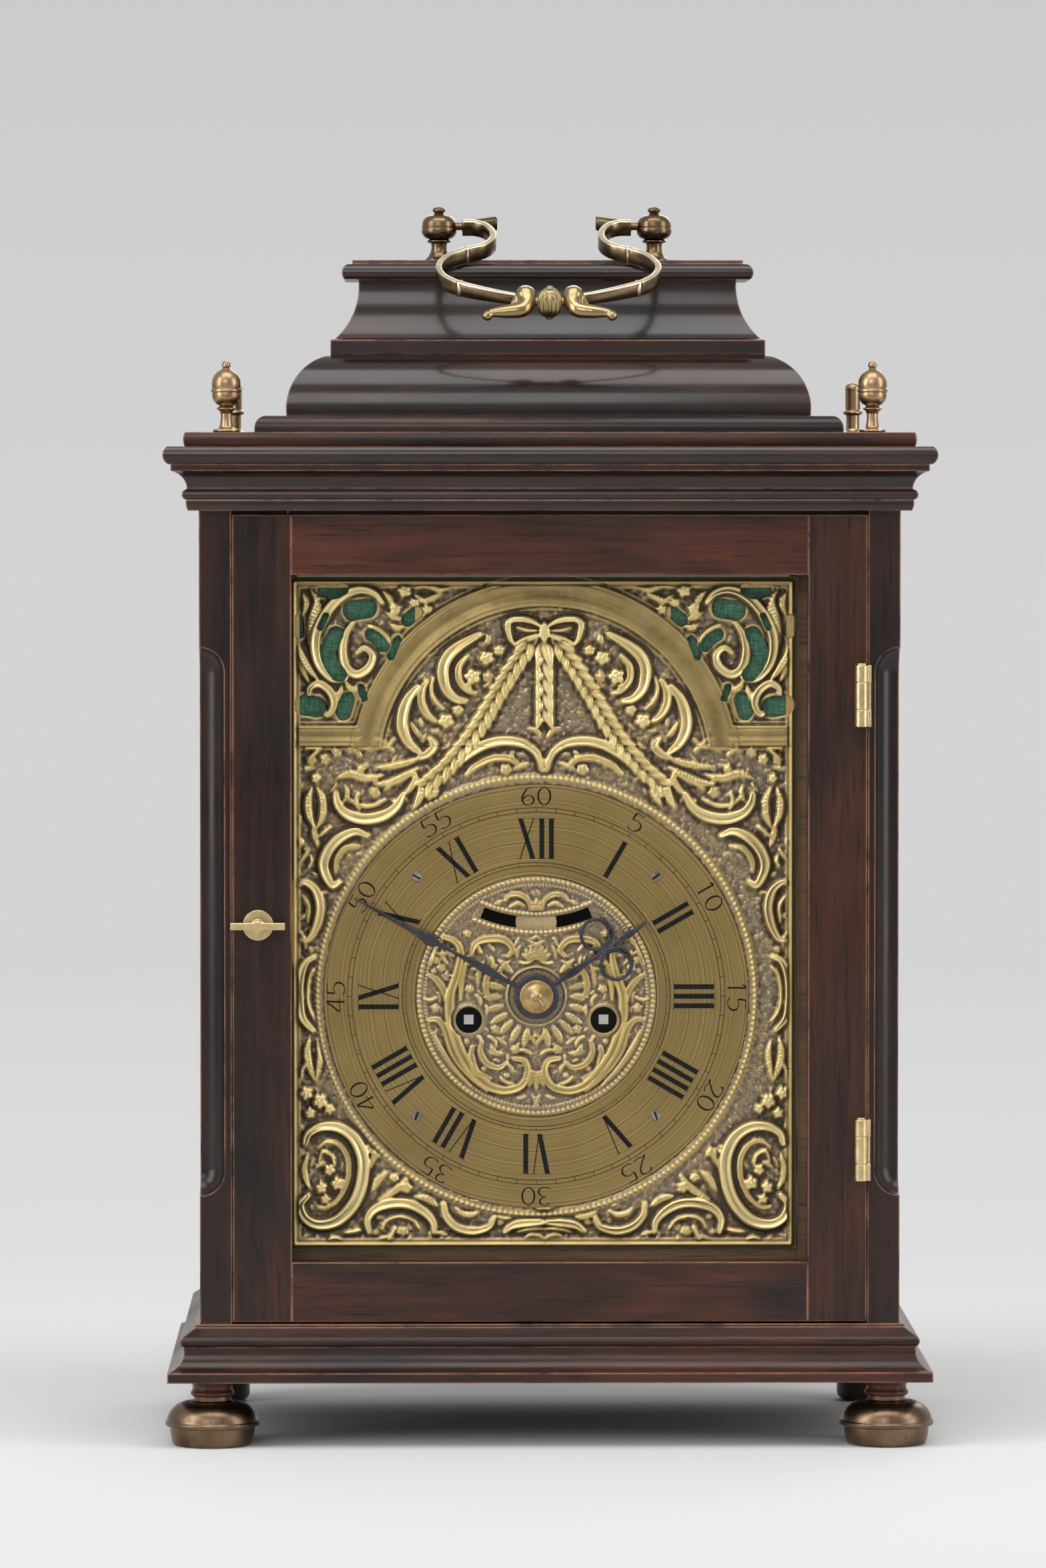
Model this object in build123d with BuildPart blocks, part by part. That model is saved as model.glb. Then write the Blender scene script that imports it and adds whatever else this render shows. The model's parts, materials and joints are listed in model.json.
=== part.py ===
from build123d import *
import os
from math import atan2, cos, degrees, hypot, pi, radians, sin, sqrt

# Bracket clock: bell-topped ebonised case, front and back doors, embossed brass dial, two-train movement.
# Millimetres. X to the viewer's right, Y to the rear, Z up. Origin: middle of the footprint, on the table.

# Case
case_w = 283.6
case_d = 164.0
side_t = 13.0
case_h = 329.4
corner_hollow_r = 10.0
corner_hollow_z0 = 62.0
corner_hollow_len = 202.0

# Base and feet
foot_h = 26.7
board_set = 8.0
front_foot_rim_r = 19.2
front_foot_h = 19.7
collar_r = 9.25
rear_foot_r = 12.0
foot_in = 17.8
plinth_h = 22.8

# Cornice and bell top: heights of each board, and how far the bell's first board stands in from the case
cornice_h = 25.8
step_board_h = 5.8
step_board_out = 6.1
bell_board_h = 7.0
bell_board_in = 22.1
cushion_h = 25.2
cushion_in = 12.8
cushion_rise_in = 18.4
band_h = 6.6
cove_h = 24.3
top_board_h = 7.9
bell_depth_extra = 3.4
bell_wall = 11.0
finial_in = 17.0

# Carrying handle
knob_x = 44.5
knob_h = 22.6
pivot_h = 14.6
pin_r = 1.6
pin_in = 17.0
bail_w = 6.6
bail_t = 2.7
bail_droop = 24.5
bail_len = 80.0
bail_acorn_r = 5.3
shoulder_in = 22.7
shoulder_v = 13.7
waist_x = 34.2
waist_v = 27.4
belly_x = 45.2
belly_v = 45.0
hip_x = 36.3
hip_v = 64.0
scroll_x = 8.2
scroll_r = 4.2
boss_x = 34.6
boss_len = 14.4
boss_tail = 10.0

# Doors
door_t = 16.0
back_door_t = 12.0
stile_w = 23.8
rail_w = 24.2
door_gap = 0.4
door_foot_gap = 0.7
door_head_gap = 1.7
rebate = 4.0
glass_t = 2.5
glass_gap = 0.2

# Door hinges
hinge_len = 24.8
knuckle_r = 2.75
knuckle_off = 0.1
leaf_t = 1.0
leaf_reach = 11.0
hinge_pin_r = 1.1
hinge_top_down = 73.2
hinge_foot_up = 69.8
knuckle_share = 0.28
knuckle_gap = 0.15
knuckle_web = 0.5
pin_head = 0.8

# Lock
key_from_edge = 10.3
key_up = 161.8
key_shaft_r = 1.9
key_bow_w = 22.0
key_bow_h = 2.8
key_reach = 10.5
collar_plate_r = 6.15
lock_w = 19.0
lock_h = 34.0
lock_t = 4.6
bolt_h = 9.0
bolt_t = 2.4
bolt_throw = 4.5
bolt_gap = 0.1
mortise_room = 1.5
key_gap = 0.3
collar_plate_t = 1.4
key_bow_t = 3.6

# Turn button on the back
catch_r = 3.6
catch_t = 2.0
catch_len = 18.0
catch_off = 0.3
catch_screw_r = 1.2
catch_screw_len = 7.0

# Dial
dial_gap = 6.0
dial_x = -5.2
dial_up = 131.5
plate_x = -2.5
plate_side_gap = 1.1
plate_foot_gap = 3.1
plate_head_gap = 1.0
plate_t = 2.0
relief_t = 0.8
ring_out_r = 86.4
ring_in_r = 49.3
ring_t = 1.6
ring_screw_r = 69.0
wind_hole_r = 5.4
wind_dx = 27.5
wind_drop = 9.7
slot_r = 58.7
slot_h = 4.8
slot_half_angle = 22.0
cloth_w = 47.0
cloth_h = 54.0
cloth_t = 0.4
cloth_lap = 3.0
corner_in = 4.5
border_w = 3.0
border_h = 1.8
mask_t = 8.0
mask_gap = 0.3
centre_hole_r = 6.0
screw_head_r = 2.2
screw_head_t = 0.7

# Hands: angles clockwise from twelve
minute_len = 85.0
minute_angle = 298.5
hour_len = 55.0
hour_angle = 56.0
hand_t = 0.8

# Movement
mov_w = 120.0
mov_up = 70.5
mov_h = 163.0
front_plate_gap = 13.0
mov_plate_t = 2.5
mov_depth = 54.5
pillar_r = 4.0
pillar_in = 5.5
dial_foot_r = 3.5
seat_t = 12.0
seat_reach = 1.0
escape_up = 54.0
pallet_up = 88.5
third_reach = 28.0
escape_reach = 26.5
escape_r = 15.7
pallet_half_angle = 63.0
pendulum_swing = 5.0
motion_reach = 24.0
barrel_clear = 3.5
arbor_r = 1.5
train_pivot_r = 1.0
pallet_arbor_r = 1.2
wind_arbor_r = 2.8
wind_pivot_r = 2.0
wind_square = 3.9
spring_hook_r = 6.0
drum_len = 28.0
drum_wall = 1.5
wheel_t = 2.0
stud_r = 0.8
minute_pipe_r = 1.2
cannon_pipe_r = 2.6
hour_pipe_r = 3.9
end_shake = 0.2
run = 0.05

# Pendulum, bell and hammer
pendulum_len = 149.5
pendulum_rod_r = 1.0
pallet_tip_r = 1.3
pendulum_gap = 6.5
bob_r = 14.0
bob_t = 9.0
mock_bob_r = 8.3
bell_r = 36.0
bell_h = 27.0
bell_t = 2.0
bell_up = 267.5
bell_back = 30.0
hammer_up = 212.5
hammer_gap = 0.7
hammer_head_r = 4.0
hammer_head_len = 11.0
bell_post_r = 2.5

# Worked out from the sizes above
half_w = case_w / 2
half_d = case_d / 2
case_z0 = foot_h + plinth_h
case_z1 = case_z0 + case_h
cornice_z1 = case_z1 + cornice_h
step_z1 = cornice_z1 + step_board_h
board_z1 = step_z1 + bell_board_h
cushion_z1 = board_z1 + cushion_h
band_z1 = cushion_z1 + band_h
cove_z1 = band_z1 + cove_h
top_z1 = cove_z1 + top_board_h
inner_w = half_w - side_t
door_half = inner_w - door_gap
door_z0 = case_z0 + door_foot_gap
door_z1 = case_z1 - door_head_gap
opening_half = door_half - stile_w
face_y = -half_d
hinge_x = inner_w - door_gap + leaf_t * 0.25 - knuckle_r
hinge_y = half_d + knuckle_r + knuckle_off
hinge_zs = (door_z0 + hinge_foot_up, door_z1 - hinge_top_down)
edge_bevel = door_t ** 2 / (4 * door_half) + 0.7
dial_y = face_y + door_t + dial_gap
dial_z = case_z0 + dial_up
plate_w = 2 * (opening_half - plate_side_gap)
plate_z0 = door_z0 + rail_w + plate_foot_gap
plate_top = door_z1 - rail_w - plate_head_gap
plate_back = dial_y + plate_t
front_plate_y = plate_back + front_plate_gap
back_plate_y = front_plate_y + mov_plate_t + mov_depth
mov_back = back_plate_y + mov_plate_t
mov_z0 = case_z0 + mov_up
seat_back = back_plate_y + seat_reach
pendulum_y = mov_back + pendulum_gap
bell_y = front_plate_y + bell_back
bell_z0 = case_z0 + bell_up
barrel_r = wind_dx - barrel_clear
pallet_z = dial_z + pallet_up
wind_reach = hypot(wind_dx, wind_drop)
wind_z = dial_z - wind_drop
wind_xs = (dial_x - wind_dx, dial_x + wind_dx)
pivot_z = top_z1 + pivot_h
key_x = -door_half + key_from_edge
key_z = case_z0 + key_up
lock_y0 = face_y + door_t
lock_y1 = lock_y0 + lock_t
bolt_y = lock_y0 + lock_t / 2
lock_x0 = -door_half + edge_bevel + 0.3
catch_x = inner_w + side_t / 2
catch_z = (door_z0 + door_z1) / 2
bell_w1 = half_w - bell_board_in
bell_d1 = half_d - bell_board_in + bell_depth_extra
bell_w2 = bell_w1 - cushion_in
bell_d2 = bell_d1 - cushion_in
bell_w3 = bell_w2 - cushion_rise_in
bell_d3 = bell_d2 - cushion_rise_in

# Profiles, from the bottom up: projection, height, bulge (positive swells out, negative hollows in)
plinth_profile = (
    (13.0, 0.0, 0), (13.0, 4.0, 0), (6.4, 12.9, -2.0), (6.4, 14.0, 0), (6.4, 18.3, 1.5),
    (2.0, plinth_h - 1.4, 0), (2.0, plinth_h, 0),
)
plinth_reach = plinth_profile[0][0]
foot_x = half_w + plinth_reach - foot_in
cornice_profile = (
    (4.3, 0.0, 0), (5.0, 4.4, 0.4), (5.0, 8.5, 1.7), (4.6, 9.0, 0), (11.0, 16.0, -1.6),
    (11.0, 18.7, 0), (12.0, 18.7, 0), (12.4, cornice_h, 2.0),
)
step_profile = ((-0.6, 0.0, 0), (-0.6, step_board_h, 0.6))
board_profile = ((0.0, 0.0, 0), (0.0, 1.7, 0), (-5.2, bell_board_h, 1.6))
cushion_profile = ((0.0, 0.0, 0), (-cushion_rise_in, cushion_h, 6.2))
cove_profile = ((0.6, 0.0, 0), (0.6, band_h - 0.7, 0), (-1.5, band_h, 0), (-10.8, band_h + cove_h, -3.0))
top_board_profile = ((-5.2, 0.0, 0), (-8.2, 6.4, 2.6), (-8.2, top_board_h, 0))
foot_profile = (
    (15.6, 0.0, 0), (16.2, 0.8, 0), (17.2, 7.2, 0.3), (19.0, 7.8, 0),
    (front_foot_rim_r, 8.4, 0), (front_foot_rim_r, 9.2, 0),
    (18.6, 9.8, 0), (9.0, 17.4, 2.4), (7.6, 18.0, 0), (7.6, front_foot_h, 0),
)
collar_profile = (
    (collar_r - 1.2, 0.0, 0), (collar_r - 0.4, 1.6, 0.4), (collar_r - 0.4, 5.4, -0.8),
    (collar_r, foot_h - front_foot_h, 0),
)
rear_foot_profile = ((9.0, 0.0, 0), (rear_foot_r, 4.0, 1.0), (rear_foot_r, foot_h, 0))
acorn_profile = (
    (5.0, 0.0, 0), (5.2, 1.2, 0.3), (2.7, 2.4, -0.4), (2.3, 7.6, -0.2), (3.0, 9.0, 0),
    (3.8, 9.8, 0.3), (2.6, 10.8, 0), (5.6, 16.2, 1.2), (6.1, 17.0, 0.3), (5.6, 17.8, 0.2),
    (2.0, 25.4, 1.6), (1.2, 26.2, 0), (1.7, 27.4, 0.3), (0.5, 28.8, 0.4),
)
rear_finial_profile = (
    (4.4, 0.0, 0), (4.6, 1.0, 0.2), (2.8, 2.4, -0.3), (2.8, 8.0, 0), (3.9, 8.6, 0), (3.9, 9.8, 0.2),
    (3.15, 10.4, 0), (3.15, 18.6, 0), (0.8, 21.8, 1.0),
)
knob_profile = (
    (5.7, 0.0, 0), (5.7, 1.0, 0), (3.3, 7.4, -1.0), (4.6, 7.9, 0), (4.6, 8.9, 0.3), (3.8, 9.3, 0),
    (7.0, 14.0, 1.5), (7.0, 15.2, 0.1), (2.6, 19.2, 1.3), (1.8, 20.0, 0), (2.45, 20.6, 0), (2.45, 21.8, 0.2),
    (0.8, knob_h, 0.2),
)


def half_section(edge, low, steps):
    """Half of a moulding's section, from its middle out to the worked edge."""
    points = [(edge + out, low + up) for out, up, bulge in steps]
    with BuildLine() as outline:
        Line((0, points[0][1]), points[0])
        for start, end, step in zip(points, points[1:], steps[1:]):
            if step[2]:
                SagittaArc(start, end, -step[2])
            else:
                Line(start, end)
        Line(points[-1], (0, points[-1][1]))
        Line((0, points[-1][1]), (0, points[0][1]))
    return outline.edges()


def moulded_board(across, along, low, steps, hole=None):
    """A board moulded on all four edges; hole is the half size of a square-cut middle."""
    reach = max(out for out, up, bulge in steps) + max(abs(bulge) for out, up, bulge in steps)
    with BuildPart() as board:
        with BuildSketch(Plane.XZ) as front:
            make_face(half_section(across, low, steps))
            mirror(about=Plane.YZ)
        extrude(front.sketch, amount=along + reach, both=True)
        with BuildSketch(Plane.YZ) as side:
            make_face(half_section(along, low, steps))
            mirror(about=Plane.YZ)
        extrude(side.sketch, amount=across + reach, both=True, mode=Mode.INTERSECT)
        if hole:
            block(-hole[0], hole[0], -hole[1], hole[1], low, low + steps[-1][1], Mode.SUBTRACT)
    return board


def block(x0, x1, y0, y1, z0, z1, mode=Mode.ADD):
    """A square block between two corners."""
    with Locations(((x0 + x1) / 2, (y0 + y1) / 2, (z0 + z1) / 2)):
        Box(abs(x1 - x0), abs(y1 - y0), abs(z1 - z0), mode=mode)


def rod_y(x, z, y0, y1, radius, mode=Mode.ADD):
    """A round rod or hole along Y."""
    with Locations(Plane((x, (y0 + y1) / 2, z), x_dir=(1, 0, 0), z_dir=(0, -1, 0))):
        Cylinder(radius, abs(y1 - y0), mode=mode)


def rod_z(x, y, z0, z1, radius, mode=Mode.ADD):
    """A round rod or hole along Z."""
    with Locations((x, y, (z0 + z1) / 2)):
        Cylinder(radius, abs(z1 - z0), mode=mode)


def turned(steps, low, places):
    """The same lathe-turned piece standing at each place."""
    with BuildPart() as piece:
        with BuildSketch(Plane.XZ) as half:
            make_face(half_section(0, low, steps))
        revolve(half.sketch, axis=Axis.Z)
    with BuildPart() as group:
        with Locations(*places):
            add(piece.part)
    return group


def dial_plane(y, up_angle=0.0, x=dial_x, z=dial_z):
    """Facing the viewer, with local y turned clockwise from straight up."""
    turn = radians(up_angle)
    return Plane((x, y, z), x_dir=(cos(turn), 0, -sin(turn)), z_dir=(0, -1, 0))


def polar(radius, angle):
    """A point in a dial plane, at an angle clockwise from twelve."""
    return (radius * sin(radians(angle)), radius * cos(radians(angle)))


# Base board with its moulding, and the feet under them
with BuildPart() as base_board:
    block(-half_w + board_set, half_w - board_set, -half_d + board_set, half_d - board_set, foot_h, case_z0)

plinth_moulding = moulded_board(
    half_w, half_d, foot_h, plinth_profile, (half_w - board_set, half_d - board_set)
)

front_foot_y = -(half_d + plinth_reach - front_foot_rim_r)
rear_foot_y = half_d + plinth_reach - front_foot_rim_r
front_places = ((-foot_x, front_foot_y, 0), (foot_x, front_foot_y, 0))
rear_places = ((-foot_x, rear_foot_y, 0), (foot_x, rear_foot_y, 0))
front_feet = turned(foot_profile, 0, front_places)
foot_collars = turned(collar_profile, front_foot_h, front_places)
rear_feet = turned(rear_foot_profile, 0, rear_places)


def leaf_span(z):
    """Bottom and top of a hinge centred at z."""
    return z - hinge_len / 2, z + hinge_len / 2


# Case sides: the front corners carry a stopped hollow, the inner faces are let in for the hinge leaves
def case_side(hand):
    """One side board; hand is -1 on the left and 1 on the right, as seen from the front."""
    hinge_at_front = hand > 0
    with BuildPart() as board:
        block(hand * inner_w, hand * half_w, -half_d, half_d, case_z0, case_z1)
        low = case_z0 + corner_hollow_z0
        rod_z(hand * half_w, -half_d, low, low + corner_hollow_len, corner_hollow_r, Mode.SUBTRACT)
        with Locations((hand * half_w, -half_d, low), (hand * half_w, -half_d, low + corner_hollow_len)):
            Sphere(corner_hollow_r, mode=Mode.SUBTRACT)
        front_or_back = -1 if hinge_at_front else 1
        for z in hinge_zs:
            z0, z1 = leaf_span(z)
            block(
                hand * inner_w, hand * (inner_w + leaf_t),
                front_or_back * half_d, front_or_back * (half_d - leaf_reach), z0, z1, Mode.SUBTRACT,
            )
        if hand < 0:
            block(
                -inner_w, -inner_w - bolt_throw - mortise_room, bolt_y - bolt_t, bolt_y + bolt_t,
                key_z - bolt_h / 2 - 1, key_z + bolt_h / 2 + 1, Mode.SUBTRACT,
            )
        else:
            screw_end = half_d - catch_screw_len - end_shake
            rod_y(catch_x, catch_z, screw_end, half_d + 1, catch_screw_r + run, Mode.SUBTRACT)
    return board


left_side = case_side(-1)
right_side = case_side(1)

with BuildPart() as top_board:
    block(
        -half_w + board_set, half_w - board_set, -half_d + board_set, half_d - board_set,
        case_z1, case_z1 + side_t,
    )

cornice_moulding = moulded_board(
    half_w, half_d, case_z1, cornice_profile, (half_w - board_set, half_d - board_set)
)
step_board = moulded_board(half_w + step_board_out, half_d + step_board_out, cornice_z1, step_profile)

# Bell top: a base board, the swelling cushion, the hollow neck and the board that carries the handle
bell_base_board = moulded_board(bell_w1, bell_d1, step_z1, board_profile)
bell_cushion = moulded_board(
    bell_w2, bell_d2, board_z1, cushion_profile, (bell_w3 - bell_wall, bell_d3 - bell_wall)
)
bell_neck = moulded_board(bell_w3, bell_d3, cushion_z1, cove_profile)
bell_top_board = moulded_board(bell_w3, bell_d3, cove_z1, top_board_profile)

finial_x = half_w + step_board_out - finial_in
finial_y = half_d + step_board_out - finial_in
with BuildPart() as finials:
    add(turned(acorn_profile, step_z1, ((-finial_x, -finial_y, 0), (finial_x, -finial_y, 0))).part)
    add(turned(rear_finial_profile, step_z1, ((-finial_x, finial_y, 0), (finial_x, finial_y, 0))).part)

# Handle knobs and the two pins that the bail swings on
with BuildPart() as handle_knobs:
    add(turned(knob_profile, top_z1, ((-knob_x, 0, 0), (knob_x, 0, 0))).part)
    for hand in (-1, 1):
        with Locations(Plane((hand * (knob_x - pin_in / 2), 0, pivot_z), z_dir=(1, 0, 0))):
            Cylinder(pin_r, pin_in)

# Bail: drawn in its own plane, which droops forward from the pins
droop = radians(bail_droop)
bail_plane = Plane((0, 0, pivot_z), x_dir=(1, 0, 0), z_dir=(0, sin(droop), -cos(droop)))
with BuildPart() as carrying_handle:
    for hand in (-1, 1):
        with BuildSketch(bail_plane):
            with BuildLine():
                waist = (hand * waist_x, waist_v)
                hip = (hand * hip_x, hip_v)
                ThreePointArc((hand * boss_x, 0), (hand * shoulder_in, shoulder_v), waist)
                ThreePointArc(waist, (hand * belly_x, belly_v), hip)
                Line(hip, (hand * 12.0, bail_len - 2.0))
            trace(line_width=bail_t)
        extrude(amount=bail_w / 2, both=True)
        with BuildSketch(bail_plane):
            with Locations((hand * (boss_x - boss_len / 2), -boss_tail / 2 + bail_t / 2)):
                Rectangle(boss_len, boss_tail + bail_t)
        extrude(amount=bail_w / 2, both=True)
        with BuildSketch(bail_plane):
            with BuildLine():
                turn = (hand * (scroll_x + 2.3), bail_len + 6.0)
                SagittaArc((hand * scroll_x, bail_len - 4.0), turn, hand * 1.5)
                Line(turn, (hand * 26.0, bail_len + 6.5))
            trace(line_width=4.6)
        extrude(amount=3.2, both=True)
        with Locations(bail_plane * Location((hand * scroll_x, bail_len - 3.5, 0))):
            Sphere(scroll_r)
        with Locations(Plane((hand * (boss_x - boss_len / 2), 0, pivot_z), z_dir=(1, 0, 0))):
            Cylinder(pin_r + run, boss_len * 2, mode=Mode.SUBTRACT)
    with Locations(bail_plane * Location((0, bail_len, 0))):
        Sphere(bail_acorn_r)
        Cylinder(2.4, 2 * bail_acorn_r + 3.4, rotation=(90, 0, 0))

# Door hinges: the outer knuckles belong to the case, the middle one to the door
def hinge_knuckle(front_or_back, z0, z1):
    """One knuckle, drilled for the pin; the back door's hinges are the front ones turned half round."""
    rod_z(-front_or_back * hinge_x, front_or_back * hinge_y, z0, z1, knuckle_r)


def knuckle_levels(z):
    """Bottom and top of the lower, middle and upper knuckles."""
    z0, z1 = leaf_span(z)
    third = hinge_len * knuckle_share
    return (
        (z0, z0 + third - knuckle_gap),
        (z0 + third, z1 - third),
        (z1 - third + knuckle_gap, z1),
    )


with BuildPart() as hinge_case_leaves:
    for front_or_back in (-1, 1):
        for z in hinge_zs:
            z0, z1 = leaf_span(z)
            hand = -front_or_back
            low, middle, high = knuckle_levels(z)
            block(
                hand * inner_w, hand * (inner_w + leaf_t),
                front_or_back * half_d, front_or_back * (half_d - leaf_reach), z0, z1,
            )
            for a, b in (low, high):
                hinge_knuckle(front_or_back, a, b)
                block(
                    hand * inner_w, hand * (inner_w + leaf_t),
                    front_or_back * half_d, front_or_back * (hinge_y + knuckle_web), a, b,
                )
                block(
                    hand * hinge_x, hand * (inner_w + leaf_t),
                    front_or_back * (hinge_y - knuckle_web), front_or_back * (hinge_y + knuckle_web), a, b,
                )
            bore = hinge_pin_r + run
            rod_z(hand * hinge_x, front_or_back * hinge_y, z0 - 1, z1 + 1, bore, Mode.SUBTRACT)

with BuildPart() as hinge_pins:
    for front_or_back in (-1, 1):
        for z in hinge_zs:
            z0, z1 = leaf_span(z)
            x = -front_or_back * hinge_x
            y = front_or_back * hinge_y
            rod_z(x, y, z0, z1, hinge_pin_r)
            rod_z(x, y, z1, z1 + pin_head, hinge_pin_r + pin_head)


def door_leaves(front_or_back):
    """The leaves let into one door's edge, each with its middle knuckle."""
    hand = -front_or_back
    with BuildPart() as leaves:
        for z in hinge_zs:
            z0, z1 = leaf_span(z)
            a, b = knuckle_levels(z)[1]
            block(
                hand * door_half, hand * (door_half - leaf_t),
                front_or_back * half_d, front_or_back * (half_d - leaf_reach), z0, z1,
            )
            block(
                hand * door_half, hand * (door_half - leaf_t),
                front_or_back * half_d, front_or_back * hinge_y, a, b,
            )
            hinge_knuckle(front_or_back, a, b)
            rod_z(hand * hinge_x, front_or_back * hinge_y, z0, z1, hinge_pin_r + run, Mode.SUBTRACT)
    return leaves


def door_frame(front_or_back, thick):
    """Stiles and rails of one door; the free edge is planed off square so that it clears the side."""
    hand = -front_or_back
    outer = front_or_back * half_d
    inner = front_or_back * (half_d - thick)
    glass_face = front_or_back * (half_d - thick + rebate)
    with BuildPart() as stiles:
        block(hand * opening_half, hand * door_half, outer, inner, door_z0, door_z1)
        with BuildSketch(Plane.XY.offset(door_z0)):
            with BuildLine():
                Polyline(
                    (-hand * opening_half, outer), (-hand * door_half, outer),
                    (-hand * (door_half - edge_bevel), inner), (-hand * opening_half, inner), close=True,
                )
            make_face()
        extrude(amount=door_z1 - door_z0)
        block(
            -opening_half - rebate, opening_half + rebate, glass_face, inner,
            door_z0 + rail_w - rebate, door_z1 - rail_w + rebate, Mode.SUBTRACT,
        )
        for z in hinge_zs:
            z0, z1 = leaf_span(z)
            block(
                hand * door_half, hand * (door_half - leaf_t),
                outer, front_or_back * (half_d - leaf_reach), z0, z1, Mode.SUBTRACT,
            )
        if front_or_back < 0:
            rod_y(key_x, key_z, outer - 1, inner + 1, key_shaft_r + key_gap, Mode.SUBTRACT)
    with BuildPart() as rails:
        for z0, z1 in ((door_z0, door_z0 + rail_w), (door_z1 - rail_w, door_z1)):
            block(-opening_half, opening_half, outer, inner, z0, z1)
        block(
            -opening_half, opening_half, glass_face, inner,
            door_z0 + rail_w - rebate, door_z1 - rail_w + rebate, Mode.SUBTRACT,
        )
    with BuildPart() as glass:
        block(
            -opening_half - rebate + glass_gap, opening_half + rebate - glass_gap,
            glass_face, glass_face - front_or_back * glass_t,
            door_z0 + rail_w - rebate + glass_gap, door_z1 - rail_w + rebate - glass_gap,
        )
    return stiles, rails, glass


door_stiles, door_rails, door_glass = door_frame(-1, door_t)
back_door_stiles, back_door_rails, back_door_glass = door_frame(1, back_door_t)
door_hinge_leaves = door_leaves(-1)
back_door_hinge_leaves = door_leaves(1)

# Lock on the back of the front door, the collar round its keyhole, its bolt and the key that stays in it
with BuildPart() as lock_case:
    block(lock_x0, lock_x0 + lock_w, lock_y0, lock_y1, key_z - lock_h / 2, key_z + lock_h / 2)
    block(
        lock_x0 - 1, lock_x0 + lock_w - 1.5, bolt_y - bolt_t / 2 - bolt_gap, bolt_y + bolt_t / 2 + bolt_gap,
        key_z - bolt_h / 2 - bolt_gap, key_z + bolt_h / 2 + bolt_gap, Mode.SUBTRACT,
    )
    rod_y(key_x, key_z, lock_y0 - 1, bolt_y, key_shaft_r + key_gap, Mode.SUBTRACT)
    rod_y(key_x, key_z, face_y - collar_plate_t, face_y, collar_plate_r)
    rod_y(key_x, key_z, face_y - collar_plate_t - 1, face_y + 0.1, key_shaft_r + key_gap, Mode.SUBTRACT)

with BuildPart() as lock_bolt:
    block(
        lock_x0, lock_x0 + lock_w - 1.7 - bolt_throw, bolt_y - bolt_t / 2, bolt_y + bolt_t / 2,
        key_z - bolt_h / 2, key_z + bolt_h / 2,
    )

bow_y = face_y - key_reach
with BuildPart() as door_key:
    rod_y(key_x, key_z, bow_y, bolt_y - bolt_t / 2 - end_shake, key_shaft_r)
    rod_y(key_x, key_z, bow_y + key_bow_t - 0.2, bow_y + key_bow_t + 2.0, key_shaft_r + 1.0)
    block(
        key_x - key_bow_w / 2, key_x + key_bow_w / 2, bow_y, bow_y + key_bow_t,
        key_z - key_bow_h / 2, key_z + key_bow_h / 2,
    )

# Turn button that holds the back door shut, pivoted on the case side; it stands upright, clear of the door
catch_y = half_d + catch_off
with BuildPart() as back_door_catch:
    rod_y(catch_x, catch_z, catch_y, catch_y + catch_t + 0.3, catch_r)
    block(
        catch_x - catch_r + 0.4, catch_x + catch_r - 0.4, catch_y, catch_y + catch_t,
        catch_z, catch_z + catch_len,
    )
    rod_y(catch_x, catch_z, half_d - catch_screw_len, catch_y + 0.2, catch_screw_r)

# Dial plate with its openings, and the embossed sheet laid over it
corner_x = plate_w / 2 - cloth_w / 2 - corner_in
corner_z = plate_top - cloth_h / 2 - corner_in
relief_y = dial_y - relief_t
border_y = relief_y - border_h


def dial_slot(y0, y1, grow=0.0):
    """The curved slot that shows the false pendulum bob."""
    with BuildSketch(dial_plane(y1, 180, z=pallet_z)) as slot:
        with BuildLine():
            CenterArc((0, 0), slot_r, 90 - slot_half_angle, 2 * slot_half_angle)
        trace(line_width=slot_h + grow)
    extrude(slot.sketch, amount=y1 - y0, mode=Mode.SUBTRACT)


def dial_holes(y0, y1, centre_r):
    """Holes for the hands' arbor and the two winding squares."""
    rod_y(dial_x, dial_z, y0, y1, centre_r, Mode.SUBTRACT)
    for x in wind_xs:
        rod_y(x, wind_z, y0, y1, wind_hole_r, Mode.SUBTRACT)


with BuildPart() as dial_plate:
    block(plate_x - plate_w / 2, plate_x + plate_w / 2, dial_y, plate_back, plate_z0, plate_top)
    for hand in (-1, 1):
        middle = plate_x + hand * corner_x
        block(
            middle - cloth_w / 2, middle + cloth_w / 2, dial_y - 1, plate_back + 1,
            corner_z - cloth_h / 2, corner_z + cloth_h / 2, Mode.SUBTRACT,
        )
    dial_slot(dial_y - 1, plate_back + 1)
    dial_holes(dial_y - 1, plate_back + 1, centre_hole_r)

with BuildPart() as dial_relief:
    block(plate_x - plate_w / 2, plate_x + plate_w / 2, relief_y, dial_y, plate_z0, plate_top)
    rod_y(dial_x, dial_z, relief_y - 1, dial_y + 1, ring_out_r + 0.1, Mode.SUBTRACT)
    for hand in (-1, 1):
        middle = plate_x + hand * corner_x
        for step in (-1, 0, 1):
            rod_y(middle + step * 3, corner_z + step * 14, relief_y - 1, dial_y + 1, 5.0, Mode.SUBTRACT)
    dial_slot(dial_y - 2, dial_y + 1)
    for z0, z1 in ((plate_z0, plate_z0 + border_w), (plate_top - border_w, plate_top)):
        block(plate_x - plate_w / 2, plate_x + plate_w / 2, border_y, relief_y, z0, z1)
    for hand in (-1, 1):
        edge = plate_x + hand * plate_w / 2
        block(edge, edge - hand * border_w, border_y, relief_y, plate_z0, plate_top)

with BuildPart() as chapter_ring:
    rod_y(dial_x, dial_z, dial_y - ring_t, dial_y, ring_out_r)
    rod_y(dial_x, dial_z, dial_y - ring_t - 1, dial_y + 1, ring_in_r, Mode.SUBTRACT)

with BuildPart() as centre_disc:
    rod_y(dial_x, dial_z, relief_y, dial_y, ring_in_r - 0.1)
    dial_holes(dial_y - 2, dial_y + 1, centre_hole_r)
    dial_slot(dial_y - 2, dial_y + 1)

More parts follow.
